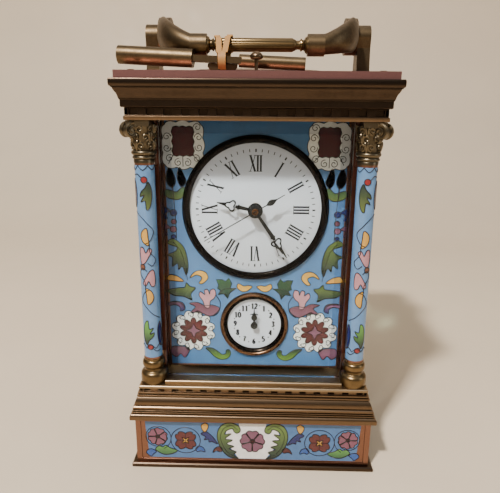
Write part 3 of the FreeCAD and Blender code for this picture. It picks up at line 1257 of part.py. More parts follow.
def make_key():
    """The double-ended winding key tied under the grip, and the rubber band that ties it."""
    along = FreeCAD.Rotation(FreeCAD.Vector(0, 0, 1), -size.key_yaw.value).multiply(
        FreeCAD.Rotation(FreeCAD.Vector(0, 1, 0), size.key_tilt.value))
    key_y = grip_y - size.key_ahead
    key_z = grip_z - size.key_hang
    start = FreeCAD.Vector(size.key_left.value, key_y.value, key_z.value)
    x_axis = FreeCAD.Vector(1, 0, 0)
    big = size.big_barrel_length.value
    plate_length = size.key_plate_length.value
    small = size.small_barrel_length.value
    key = Part.makeCylinder(size.big_barrel_radius.value, big, FreeCAD.Vector(0, 0, 0), x_axis)
    half_w = size.key_plate_width.value / 2
    half_t = size.key_plate_thick.value / 2
    plate_start = big - 4.0
    key = key.fuse(Part.makeBox(plate_length, 2 * half_w, 2 * half_t,
                                FreeCAD.Vector(plate_start, -half_w, -half_t)))
    small_start = plate_start + plate_length - 1.0
    key = key.fuse(Part.makeCylinder(size.small_barrel_radius.value, small,
                                     FreeCAD.Vector(small_start, 0, 0), x_axis))
    side = size.square_side.value + 0.2
    depth = size.socket_depth.value
    key = key.cut(Part.makeBox(depth + 1, side, side, FreeCAD.Vector(-1, -side / 2, -side / 2)))
    fine = side * 0.7
    key = key.cut(Part.makeBox(depth + 1, fine, fine,
                               FreeCAD.Vector(small_start + small - depth, -fine / 2, -fine / 2)))
    key.rotate(FreeCAD.Vector(0, 0, 0), FreeCAD.Vector(0, 1, 0), size.key_tilt.value)
    key.rotate(FreeCAD.Vector(0, 0, 0), FreeCAD.Vector(0, 0, 1), -size.key_yaw.value)
    key.translate(start)
    shaped("winding_key", key.removeSplitter())

    place_x = size.band_place.value
    travel = (place_x - start.x) / math.cos(size.key_tilt.value * math.pi / 180)
    key_point = start + along.multVec(FreeCAD.Vector(travel, 0, 0))
    far = FreeCAD.Vector(place_x, key_point.y, key_point.z)
    near = FreeCAD.Vector(place_x, grip_y.value, grip_z.value)
    width = size.band_width.value
    inner = size.band_radius.value
    loop = stadium(near, far, inner + size.band_thick.value, width)
    shaped("rubber_band", loop.cut(stadium(near, far, inner, width + 2)))


def stadium(near, far, radius, width):
    """A prism along x round two centres, with round ends of one radius."""
    x_axis = FreeCAD.Vector(1, 0, 0)
    run = far - near
    side = run.cross(x_axis).normalize() * radius
    shift = x_axis * (-width / 2)
    corners_of_run = [near + side, far + side, far - side, near - side, near + side]
    middle = Part.Face(Part.makePolygon([point + shift for point in corners_of_run]))
    solid = middle.extrude(x_axis * width)
    for centre in (near, far):
        solid = solid.fuse(Part.makeCylinder(radius, width, centre + shift, x_axis))
    return solid.removeSplitter()


def make_button():
    """The alarm's stop button, standing in the top plate's front edge."""
    head_low = size.button_head_rise
    head_r = size.button_head_radius
    stem = size.button_stem_radius
    thick = size.button_head_thick
    profile = [
        (0, -size.button_stem_length), (stem, -size.button_stem_length), (stem, head_low),
        (head_r * 0.9, head_low), (head_r, head_low + thick * 0.3), (head_r * 0.85, head_low + thick * 0.75),
        (head_r * 0.4, head_low + thick), (0, head_low + thick),
    ]
    node("stop_button", turned("button", profile, (0, button_y, top_high)))


make_bottom_plate()
make_plinth()
make_base()
make_columns()
make_tie_rods()
make_posts()
make_glass()
make_entablature()
make_dials()
make_movement_frame()
make_motion_work()
make_train()
make_alarm_work()
make_escapement()
make_door()
make_handle()
make_key()
make_button()
doc.recompute()

for thing in doc.Objects:
    if "Invalid" in thing.State or "Error" in thing.State:
        raise RuntimeError("%s is %s" % (thing.Label, thing.State))
for thing in nodes:
    if thing.Shape.isNull() or not thing.Shape.isValid() or not thing.Shape.Solids:
        raise RuntimeError("%s has no sound shape" % thing.Label)

os.makedirs("parts", exist_ok=True)
for thing in nodes:
    thing.Shape.exportStep(os.path.join("parts", thing.Label + ".step"))
print(len(nodes), "nodes")
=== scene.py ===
"""Looks of the cloisonne carriage clock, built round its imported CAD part.

Metres in Blender; the shapes below are written in millimetres and scaled by MM.
+Z up, +X right, the dial faces -Y, the origin is the middle of the underside.
"""
import bmesh
import bpy
import math
from mathutils import Matrix, Vector
from mathutils.geometry import delaunay_2d_cdt


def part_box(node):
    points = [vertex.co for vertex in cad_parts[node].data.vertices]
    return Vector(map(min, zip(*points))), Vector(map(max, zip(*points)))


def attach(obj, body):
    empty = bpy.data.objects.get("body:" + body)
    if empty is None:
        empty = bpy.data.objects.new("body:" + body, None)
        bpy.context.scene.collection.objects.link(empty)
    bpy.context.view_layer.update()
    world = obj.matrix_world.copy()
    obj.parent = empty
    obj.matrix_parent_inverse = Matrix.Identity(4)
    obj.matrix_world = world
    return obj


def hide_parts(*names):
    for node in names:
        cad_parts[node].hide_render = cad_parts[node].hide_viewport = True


MM = 0.001
TAU = 2 * math.pi
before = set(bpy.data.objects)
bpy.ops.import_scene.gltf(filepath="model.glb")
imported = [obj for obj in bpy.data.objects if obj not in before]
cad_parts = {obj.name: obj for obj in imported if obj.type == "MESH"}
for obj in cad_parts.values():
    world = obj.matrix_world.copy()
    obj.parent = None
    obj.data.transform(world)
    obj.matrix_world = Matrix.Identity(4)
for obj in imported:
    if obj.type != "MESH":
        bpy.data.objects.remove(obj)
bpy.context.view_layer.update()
scene = bpy.context.scene

# places in millimetres that several pieces share
HALF_X, HALF_Y = 50, 44
MAIN_DIAL, ALARM_DIAL = (0, 106.2), (0, 57.2)
COLUMN_X, COLUMN_Y = 40.9, 34.9
CORNERS = [(x, y) for x in (-1, 1) for y in (-1, 1)]
BOX_FACES = [[3, 2, 1, 0], [4, 5, 6, 7], [0, 1, 5, 4], [1, 2, 6, 5], [2, 3, 7, 6], [3, 0, 4, 7]]


def span(node):
    """Both corners of a CAD node in millimetres."""
    low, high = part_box(node)
    return low / MM, high / MM


# ---------------------------------------------------------------- camera, floor and light
forward = Vector((-0.02095, 0.96293, -0.26894))
right = Vector((0.99968, 0.02396, 0.00792))
up = Vector((-0.01407, 0.26868, 0.96313))
camera_data = bpy.data.cameras.new("camera")
camera_data.sensor_width = 36.0
camera_data.lens = 35.91
camera_data.shift_y = 0.0048
camera = bpy.data.objects.new("camera", camera_data)
turn = Matrix((right, up, -forward)).transposed().to_4x4()
camera.matrix_world = Matrix.Translation(Vector((2.24, -219.30, 144.34)) * MM) @ turn
scene.collection.objects.link(camera)
scene.camera = camera


def linear(red, green, blue):
    """Linear colour of an sRGB triple given in 0..255."""
    def one(value):
        value = value / 255
        return value / 12.92 if value <= 0.04045 else ((value + 0.055) / 1.055) ** 2.4
    return (one(red), one(green), one(blue), 1.0)


def lamp(name, place, target, size, watts, colour):
    data = bpy.data.lights.new(name, "AREA")
    data.shape = "RECTANGLE"
    data.size, data.size_y = size
    data.energy = watts
    data.color = colour
    light = bpy.data.objects.new(name, data)
    light.location = place
    light.rotation_euler = (Vector(target) - Vector(place)).to_track_quat("-Z", "Y").to_euler()
    scene.collection.objects.link(light)


middle = (0, 0, 0.09)
lamp("key_light", (-0.33, -0.63, 0.98), middle, (0.08, 0.08), 21.0, (1.0, 0.97, 0.94))
lamp("top_light", (0.15, 0.15, 0.9), middle, (0.6, 0.4), 0.8, (1.0, 0.98, 0.95))
lamp("side_light", (0.8, -0.35, 0.35), middle, (0.3, 0.6), 1.2, (0.93, 0.97, 1.0))
lamp("back_light", (-0.3, 0.8, 0.6), middle, (0.6, 0.5), 3.0, (1.0, 0.98, 0.95))
world = bpy.data.worlds.new("studio")
world.use_nodes = True
scene.world = world


# ---------------------------------------------------------------- materials
def feed(tree, node, given):
    """Set a node's inputs from numbers, or link them from other nodes' outputs."""
    for socket, value in given.items():
        if isinstance(value, bpy.types.NodeSocket):
            tree.links.new(value, node.inputs[socket])
        else:
            node.inputs[socket].default_value = value


def add_node(tree, kind, output, given, **settings):
    """One output of a new shader node."""
    node = tree.nodes.new("ShaderNode" + kind)
    for key, value in settings.items():
        setattr(node, key, value)
    feed(tree, node, given)
    return node.outputs[output]


def new_material(name):
    material = bpy.data.materials.new(name)
    material.use_nodes = True
    tree = material.node_tree
    return material, tree, tree.nodes["Principled BSDF"]


def noise(tree, scale, detail=4.0, rough=0.6):
    """A noise texture in the piece's own metres."""
    place = add_node(tree, "TexCoord", "Object", {})
    return add_node(tree, "TexNoise", "Fac", {
        "Scale": scale, "Detail": detail, "Roughness": rough, "Vector": place})


def remap(tree, value, low, high, to_low, to_high):
    return add_node(tree, "MapRange", "Result", {
        "Value": value, "From Min": low, "From Max": high, "To Min": to_low, "To Max": to_high})


def add_up(tree, first, second):
    return add_node(tree, "Math", "Value", {0: first, 1: second}, operation="ADD", use_clamp=True)


def mix_colours(tree, amount, low, high, kind="MIX"):
    """Mix of two colours or colour outputs by a value output or number."""
    factor, first, second, result = 0, 6, 7, 2
    return add_node(tree, "Mix", result, {factor: amount, first: low, second: high},
                    data_type="RGBA", blend_type=kind)


def bump(tree, shader, height, strength, distance):
    normal = add_node(tree, "Bump", "Normal", {"Strength": strength, "Distance": distance, "Height": height})
    feed(tree, shader, {"Normal": normal})


def metal(name, bright, dark, rough, patches=90.0, worn=0.5, dull=0.5):
    """Cast or turned metal: tarnish patches, grime in the hollows, polish on the edges."""
    material, tree, shader = new_material(name)
    edge = add_node(tree, "Attribute", "Fac", {}, attribute_name="edge")
    tarnish = remap(tree, noise(tree, patches, 6.0, 0.65), 0.3, 0.7, 0.0, dull)
    fine = remap(tree, noise(tree, patches * 9, 3.0, 0.7), 0.3, 0.7, -0.12, 0.12)
    polish = remap(tree, edge, -0.5, 0.5, 1.0 - worn - dull, 1.0 + worn - dull)
    amount = add_up(tree, add_up(tree, polish, tarnish), fine)
    feed(tree, shader, {"Metallic": 1.0, "Base Color": mix_colours(tree, amount, linear(*dark),
                                                                   linear(*bright)),
                        "Roughness": remap(tree, amount, 0.0, 1.0, rough[1], rough[0])})
    bump(tree, shader, noise(tree, 1800.0, 3.0, 0.6), 0.1, 0.00003)
    return material


def enamel(name, gloss=0.12, mottle=0.1):
    """Fired glass colours, one per cell, from the tint attribute, with pits and a wavy skin."""
    material, tree, shader = new_material(name)
    tint = add_node(tree, "Attribute", "Color", {}, attribute_name="tint")
    cloud = remap(tree, noise(tree, 260.0, 5.0, 0.7), 0.3, 0.7, 1.0 - mottle, 1.0 + mottle)
    shade = add_node(tree, "CombineColor", "Color", {"Red": cloud, "Green": cloud, "Blue": cloud})
    colour = mix_colours(tree, 1.0, tint, shade, "MULTIPLY")
    pits = remap(tree, noise(tree, 2600.0, 2.0, 0.5), 0.68, 0.8, 0.0, 0.5)
    feed(tree, shader, {"Base Color": mix_colours(tree, pits, colour, linear(60, 58, 60)),
                        "Roughness": remap(tree, noise(tree, 700.0), 0.3, 0.7, gloss, gloss + 0.14),
                        "Coat Weight": 0.35, "Coat Roughness": 0.06})
    bump(tree, shader, noise(tree, 320.0, 2.0, 0.5), 0.18, 0.0002)
    return material


def plain(name, colour, rough, patches=300.0, spread=0.12, metallic=0.0, coat=0.0):
    """A solid-coloured surface with faint mottling and an uneven polish."""
    material, tree, shader = new_material(name)
    low = linear(*[value * (1 - spread) for value in colour])
    feed(tree, shader, {"Base Color": mix_colours(tree, noise(tree, patches, 5.0), low, linear(*colour)),
                        "Roughness": remap(tree, noise(tree, patches * 4), 0.3, 0.7, rough * 0.8,
                                           rough * 1.25), "Metallic": metallic, "Coat Weight": coat})
    bump(tree, shader, noise(tree, patches * 7, 2.0), 0.12, 0.00004)
    return material


def clear_glass(name, tint):
    """Bevelled plate glass that lets lamp light through to what is behind it."""
    material, tree, shader = new_material(name)
    feed(tree, shader, {"Base Color": tint, "Transmission Weight": 1.0, "IOR": 1.12,
                        "Roughness": remap(tree, noise(tree, 150.0, 3.0), 0.35, 0.75, 0.0, 0.003)})
    shadow = add_node(tree, "LightPath", "Is Shadow Ray", {})
    through = add_node(tree, "BsdfTransparent", "BSDF", {"Color": tint})
    surface = add_node(tree, "MixShader", "Shader", {0: shadow, 1: shader.outputs["BSDF"], 2: through})
    feed(tree, tree.nodes["Material Output"], {"Surface": surface})
    return material


ANTIQUE = metal("antique_brass", (114, 92, 70), (34, 26, 20), (0.32, 0.52), dull=0.55)
CAST = metal("cast_brass", (106, 94, 74), (24, 20, 16), (0.34, 0.55), patches=200.0, worn=0.7, dull=0.45)
OLD_BRASS = metal("old_brass", (106, 88, 64), (44, 34, 25), (0.38, 0.56), patches=160.0, dull=0.55)
DARK_COPPER = metal("dark_copper", (96, 58, 46), (34, 20, 18), (0.34, 0.52), dull=0.5)
BRIGHT = metal("bright_brass", (122, 100, 68), (44, 34, 23), (0.3, 0.48), dull=0.55)
CORNICE = metal("cornice_brass", (72, 58, 46), (18, 14, 11), (0.3, 0.5), dull=0.6)
COPPER = metal("copper", (136, 98, 80), (60, 40, 34), (0.3, 0.5), dull=0.5)
DECK = metal("deck_brass", (150, 128, 100), (60, 48, 36), (0.4, 0.58), dull=0.5)
PINK_COPPER = metal("plate_edge_copper", (196, 140, 134), (120, 76, 74), (0.32, 0.5), dull=0.5)
BRONZE = metal("bezel_bronze", (38, 30, 26), (7, 6, 6), (0.18, 0.36), dull=0.7)
ALARM_BRASS = metal("alarm_bezel_brass", (112, 80, 60), (38, 26, 20), (0.26, 0.45), dull=0.5)
MOVEMENT = metal("movement_brass", (214, 184, 112), (150, 118, 62), (0.2, 0.34), dull=0.3)
STEEL = metal("steel", (186, 188, 190), (120, 122, 126), (0.2, 0.36), dull=0.4)
BELL = metal("bell_metal", (196, 176, 132), (124, 100, 66), (0.16, 0.32), dull=0.4)
WIRE = plain("cell_wire", (40, 28, 26), 0.45, 400.0, 0.4, 0.2)
ENAMEL = enamel("enamel")
DIAL_WHITE = enamel("dial_white", 0.08, 0.015)
BLACK = plain("hand_black", (13, 12, 14), 0.4, coat=0.1)
INK = plain("dial_ink", (14, 15, 26), 0.4)
BANDRUBBER = plain("rubber_band", (190, 136, 72), 0.6, 500.0, 0.25)
GLASS = clear_glass("glass", (0.93, 0.97, 0.95, 1.0))
# the bevel glass's darker bluish tint is painted shade: it stands in for the dim room that the bevel reflects
# and bends
PAINTED_SHADE_BEVEL_GLASS = clear_glass("bevel_glass_painted_shade", (0.50, 0.55, 0.62, 1.0))
GREEN_GLASS = clear_glass("top_glass", (0.78, 0.92, 0.86, 1.0))
FLOOR = plain("floor", (226, 206, 178), 0.6, 12.0, 0.05)


def sky():
    """A studio dome: bright overhead, dim towards the horizon, which gives the metal its dark lines."""
    tree = world.node_tree
    place = add_node(tree, "TexCoord", "Generated", {})
    height = remap(tree, add_node(tree, "SeparateXYZ", "Z", {"Vector": place}), 0.05, 0.85, 0.0, 1.0)
    colour = mix_colours(tree, height, (0.10, 0.11, 0.13, 1), (0.78, 0.82, 0.86, 1))
    feed(tree, tree.nodes["Background"], {"Color": colour, "Strength": 0.5})


sky()


# ---------------------------------------------------------------- shapes
class Piece:
    """One visible piece: shapes are added to it, then it becomes an object that rides a body."""

    def __init__(self, name):
        self.name = name
        self.points = []
        self.faces = []
        self.looks = []
        self.materials = []
        self.tints = []

    def add(self, shape, material, tint=(1, 1, 1, 1)):
        points, faces = shape
        start = len(self.points)
        if material not in self.materials:
            self.materials.append(material)
        look = self.materials.index(material)
        self.points.extend(points)
        self.faces.extend([[start + index for index in face] for face in faces])
        self.looks.extend([look] * len(faces))
        shades = tint if isinstance(tint, list) else [tint] * len(points)
        self.tints.extend(shades)
        return self

    def make(self, body, slot, *nodes, bevel=0.0, sharp=35.0, subdivide=0):
        mesh = bpy.data.meshes.new(self.name)
        mesh.from_pydata([Vector(point) * MM for point in self.points], [], self.faces)
        mesh.polygons.foreach_set("material_index", self.looks)
        for material in self.materials:
            mesh.materials.append(material)
        tint = mesh.attributes.new("tint", "FLOAT_COLOR", "POINT")
        tint.data.foreach_set("color", [channel for shade in self.tints for channel in shade])
        work = bmesh.new()
        work.from_mesh(mesh)
        bmesh.ops.recalc_face_normals(work, faces=[face for face in work.faces if self.solid(face)])
        work.to_mesh(mesh)
        edge = mesh.attributes.new("edge", "FLOAT", "POINT")
        edge.data.foreach_set("value", [convexity(vert) for vert in work.verts])
        work.free()
        mesh.shade_smooth()
        mesh.set_sharp_from_angle(angle=math.radians(sharp))
        piece = bpy.data.objects.new(self.name, mesh)
        scene.collection.objects.link(piece)
        if bevel:
            rounding = piece.modifiers.new("rounding", "BEVEL")
            for key, value in (("width", bevel * MM), ("segments", 2), ("limit_method", "ANGLE"),
                               ("angle_limit", math.radians(40)), ("use_clamp_overlap", True),
                               ("harden_normals", True)):
                setattr(rounding, key, value)
        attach(piece, body)
        if nodes:
            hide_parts(*nodes)
        return piece

    def solid(self, face):
        return self.materials[face.material_index] not in (ENAMEL, DIAL_WHITE, INK)


def convexity(vert):
    """Above 0 on an outer edge, below 0 in a hollow."""
    if not vert.link_edges:
        return 0.0
    total = 0.0
    for edge in vert.link_edges:
        run = vert.co - edge.other_vert(vert).co
        total += vert.normal.dot(run.normalized()) if run.length > 0 else 0.0
    return max(-1.0, min(1.0, total / len(vert.link_edges)))


def to_axis(axis, centre, across, along, height):
    """A point given round an axis: z up, f to the front (-Y), x to the right."""
    x, y, z = centre
    if axis == "z":
        return (x + across, y + along, z + height)
    if axis == "f":
        return (x + across, y - height, z + along)
    return (x + height, y + across, z + along)


def skin(rows, steps, closed=False):
    """Faces between neighbouring rings of points; closed joins the last ring to the first."""
    faces = []
    for row in range(rows if closed else rows - 1):
        low, high = row * steps, (row + 1) % rows * steps
        for step in range(steps):
            after = (step + 1) % steps
            faces.append([low + step, low + after, high + after, high + step])
    return faces


def polar(centre, radius, angle):
    return (centre[0] + radius * math.cos(angle), centre[1] + radius * math.sin(angle))


def lathe(profile, centre, axis="z", steps=48, closed=False):
    """A turned skin through (radius, height) points."""
    points = [to_axis(axis, centre, *polar((0, 0), radius, TAU * step / steps), height)
              for radius, height in profile for step in range(steps)]
    return points, skin(len(profile), steps, closed)


def prism(outline, low, high, axis="f", centre=(0, 0, 0)):
    """A flat outline of (across, along) points given a thickness."""
    count = len(outline)
    points = [to_axis(axis, centre, a, b, level) for level in (low, high) for a, b in outline]
    return points, [list(range(count))[::-1], list(range(count, 2 * count))] + skin(2, count)


def block(one, other):
    """A box between two opposite corners, given in any order."""
    (x0, x1), (y0, y1), (z0, z1) = [sorted(pair) for pair in zip(one, other)]
    points = [(x, y, z) for z in (z0, z1) for x, y in ((x0, y0), (x1, y0), (x1, y1), (x0, y1))]
    return points, BOX_FACES


def moulding(profile, well_x, well_y, half_x=HALF_X, half_y=HALF_Y):
    """A mitred run round the case: (inset, height) points outside, straight walls inside."""
    rows = [(half_x - inset, half_y - inset, height) for inset, height in profile]
    rows += [(well_x, well_y, profile[-1][1]), (well_x, well_y, profile[0][1])]
    points = [(x * a, y * b, z) for x, y, z in rows for a, b in ((-1, -1), (1, -1), (1, 1), (-1, 1))]
    return points, skin(len(rows), 4, True)


def tube(path, radius, sides=6, closed=False):
    """A round wire along a list of points; radius may be a list."""
    path = [Vector(point) for point in path]
    count = len(path)
    radii = radius if isinstance(radius, list) else [radius] * count
    points = []
    normal = None
    for index, place in enumerate(path):
        before = path[index - 1] if index or closed else place
        after = path[(index + 1) % count] if index < count - 1 or closed else place
        run = (after - before).normalized()
        if normal is None:
            normal = run.orthogonal().normalized()
        normal = (normal - run * normal.dot(run)).normalized()
        side = run.cross(normal)
        for step in range(sides):
            angle = TAU * step / sides
            points.append(tuple(place + (normal * math.cos(angle) + side * math.sin(angle)) * radii[index]))
    faces = skin(count, sides, closed)
    if not closed:
        faces.append(list(range(sides))[::-1])
        faces.append([(count - 1) * sides + step for step in range(sides)])
    return points, faces


def smooth(points, closed=False, steps=5):
    """A Catmull-Rom curve through the points."""
    points = [Vector(point) for point in points]
    count = len(points)
    out = []
    for index in range(count if closed else count - 1):
        p1, p2 = points[index], points[(index + 1) % count]
        p0 = points[index - 1] if index or closed else p1
        p3 = points[(index + 2) % count] if index + 2 < count or closed else p2
        for step in range(steps):
            t = step / steps
            out.append(0.5 * ((2 * p1) + (p2 - p0) * t + (2 * p0 - 5 * p1 + 4 * p2 - p3) * t * t
                              + (3 * p1 - p0 - 3 * p2 + p3) * t ** 3))
    if not closed:
        out.append(points[-1])
    return [tuple(point) for point in out]


def spiral(centre, radius, start, turns, shrink=0.25, steps=14):
    """A wire curl: it winds in from radius to radius * shrink."""
    return [polar(centre, radius * (1 - i / steps * (1 - shrink)), start + TAU * turns * i / steps)
            for i in range(steps + 1)]


# ---------------------------------------------------------------- enamel panels
SKY = linear(72, 112, 158)
WHITE = linear(236, 232, 228)
PINK = linear(186, 132, 140)
MAUVE = linear(116, 72, 92)
PLUM = linear(96, 50, 66)
RED = linear(140, 34, 38)
MAROON = linear(74, 22, 26)
YELLOW = linear(208, 156, 66)
OLIVE = linear(84, 100, 46)
GREEN = linear(44, 84, 54)
DEEP_GREEN = linear(16, 44, 38)
NIGHT_GREEN = linear(12, 32, 32)
NAVY = linear(24, 34, 92)
BLUE = linear(44, 84, 150)
BROWN = linear(120, 66, 48)
LIGHT_SKY = linear(98, 140, 184)
CELL = 0.03
WIRE_WIDTH = 0.17


def flat_front(plane):
    """Panel mapping: u to the right and v up on a wall facing the front."""
    def place(u, v, height):
        return (u, plane - height, v)
    return place


def flat_wall(turns, half_x, half_y):
    """The same on the wall reached after some quarter turns; u runs to the right of someone facing it."""
    def place(u, v, height):
        if turns == 0:
            return (u, -half_y - height, v)
        if turns == 1:
            return (half_x + height, u, v)
        if turns == 2:
            return (-u, half_y + height, v)
        return (-half_x - height, -u, v)
    return place


def round_post(centre, radius, facing=-math.pi / 2):
    """u wraps round an upright post, v is height."""
    def place(u, v, height):
        angle = facing + u / radius
        reach = radius + height
        return (centre[0] + reach * math.cos(angle), centre[1] + reach * math.sin(angle), v)
    return place


class Panel:
    """Enamel cells and their wires on one mapped surface."""

    def __init__(self, piece, place, grid=0.0):
        self.piece = piece
        self.place = place
        self.grid = grid
        self.mirror = 1
        self.shift = (0.0, 0.0)

    def spot(self, u, v):
        return ((u + self.shift[0]) * self.mirror, v + self.shift[1])

    def cell(self, outline, colour, layer=1, other=None, wire=True, curved=True, holes=()):
        """A filled cell; other is the colour it blends to at its top."""
        if curved:
            outline = smooth([(u, v, 0) for u, v in outline], True, 4)
        outline = [self.spot(point[0], point[1]) for point in outline]
        extra = []
        if self.grid:
            lows, highs = [[pick(point[i] for point in outline) for i in (0, 1)] for pick in (min, max)]
            steps = [max(1, math.ceil((highs[i] - lows[i]) / self.grid)) for i in (0, 1)]
            extra = [Vector((lows[0] + (highs[0] - lows[0]) * i / steps[0],
                             lows[1] + (highs[1] - lows[1]) * j / steps[1]))
                     for i in range(1, steps[0]) for j in range(1, steps[1])]
        found, kept = filled(outline, holes, [spot for spot in extra if inside(spot, outline)])
        low = min(point[1] for point in outline)
        rise = max(point[1] for point in outline) - low or 1.0
        shades = colour
        if other:
            shades = []
            for spot in found:
                share = (spot.y - low) / rise
                share = share * share * (3 - 2 * share)
                shades.append(tuple(a + (b - a) * share for a, b in zip(colour, other)))
        points = [self.place(spot.x, spot.y, CELL * layer) for spot in found]
        self.piece.add((points, kept), ENAMEL, shades)
        if wire:
            self.line(outline, True, layer, raw=True)

    def line(self, path, closed=False, layer=1, raw=False, width=WIRE_WIDTH):
        """A half-sunk wire along a path on the panel."""
        if not raw:
            path = [self.spot(point[0], point[1]) for point in path]
        ring = [self.place(u, v, CELL * layer) for u, v in path]
        self.piece.add(tube(ring, width, 5, closed), WIRE)

    def curve(self, path, layer=1, width=WIRE_WIDTH, steps=5):
        self.line(smooth([(u, v, 0) for u, v in path], False, steps), False, layer, False, width)

    def disc(self, centre, radius, colour, layer=1, lobes=0, depth=0.12, wire=True, turn=0.0, steps=32):
        """A round, or lobed, cell."""
        outline = []
        count = lobes * 8 or steps
        for step in range(count):
            angle = TAU * step / count + turn
            dip = depth * (1 - abs(math.cos(lobes * (angle - turn) / 2))) if lobes else 0.0
            outline.append(polar(centre, radius * (1 - dip), angle))
        self.cell(outline, colour, layer, wire=wire, curved=False)


def inside(spot, outline):
    """True if a point is within a closed outline."""
    x, y = spot[0], spot[1]
    found = False
    count = len(outline)
    for index in range(count):
        (x0, y0), (x1, y1) = outline[index][:2], outline[(index + 1) % count][:2]
        if (y0 > y) != (y1 > y) and x < (x1 - x0) * (y - y0) / (y1 - y0) + x0:
            found = not found
    return found


def filled(outline, holes=(), extra=()):
    """Triangles that fill an outline, less its holes: flat points and faces."""
    vectors, edges = [], []
    for ring in [outline] + list(holes):
        start, count = len(vectors), len(ring)
        vectors += [Vector(point) for point in ring]
        edges += [(start + i, start + (i + 1) % count) for i in range(count)]
    rim = [list(range(len(outline)))]
    found, _, faces, _, _, _ = delaunay_2d_cdt(vectors + list(extra), edges, rim, 1, 1e-5)
    kept = []
    for face in faces:
        middle = sum((found[i] for i in face), Vector((0, 0))) / len(face)
        if not any(inside(middle, hole) for hole in holes):
            kept.append(list(face))
    return found, kept


def circle(centre, radius, steps=64):
    return [polar(centre, radius, TAU * i / steps) for i in range(steps)]


def curled_flower(panel, centre, reach, layer=2, petals=12):
    """White flower: each petal is a round lobe with a wire curl in it."""
    panel.disc(centre, reach, WHITE, layer, petals, 0.16, turn=TAU / petals / 2)
    for index in range(petals):
        notch = TAU * (index + 0.5) / petals
        hub = polar(centre, reach * 0.76, notch + 0.13)
        panel.line(spiral(hub, reach * 0.15, notch - 0.9, 0.95), layer=layer + 1, width=0.16)
        panel.line([polar(centre, reach * share, notch) for share in (0.92, 0.76)], layer=layer + 1,
                   width=0.16)


def scalloped_square(centre, half_u, half_v, lobes, steps=8, bulge=0.1):
    """A rounded square with bulging lobes along each side."""
    corners = [(-1, -1), (1, -1), (1, 1), (-1, 1)]
    out = []
    for index, (u, v) in enumerate(corners):
        nu, nv = corners[(index + 1) % 4]
        for step in range(lobes * steps):
            t = step / (lobes * steps)
            lift = 1 + bulge * abs(math.sin(math.pi * t * lobes)) + 0.12 * math.sin(math.pi * t)
            out.append((centre[0] + half_u * (u + (nu - u) * t) * 0.86 * lift,
                        centre[1] + half_v * (v + (nv - v) * t) * 0.86 * lift))
    return out


def star(centre, reach, hollow=0.42, points=4, turn=0.0, steps=6):
    """A star with hollow sides."""
    out = []
    for index in range(points):
        for step in range(steps):
            t = step / steps
            dip = (1 - hollow) * math.sin(math.pi * t) ** 0.8
            out.append(polar(centre, reach * (1 - dip), turn + TAU * (index + t) / points))
    return out


def five_petals(panel, centre, reach, colour, layer, turn=math.pi / 2, heart=RED):
    """A five-petalled flower with notched tips and a small heart."""
    half = [(0.08, 0.0), (0.4, 0.32), (0.72, 0.528), (0.98, 0.288), (0.92, 0.0)]
    loop = half + [(a, -b) for a, b in half[1:-1]][::-1]
    for index in range(5):
        angle = turn + TAU * index / 5
        cosine, sine = math.cos(angle), math.sin(angle)
        panel.cell([(centre[0] + reach * (a * cosine - b * sine), centre[1] + reach * (a * sine + b * cosine))
                    for a, b in loop], colour, layer)
    panel.disc(centre, reach * 0.2, heart, layer + 1)


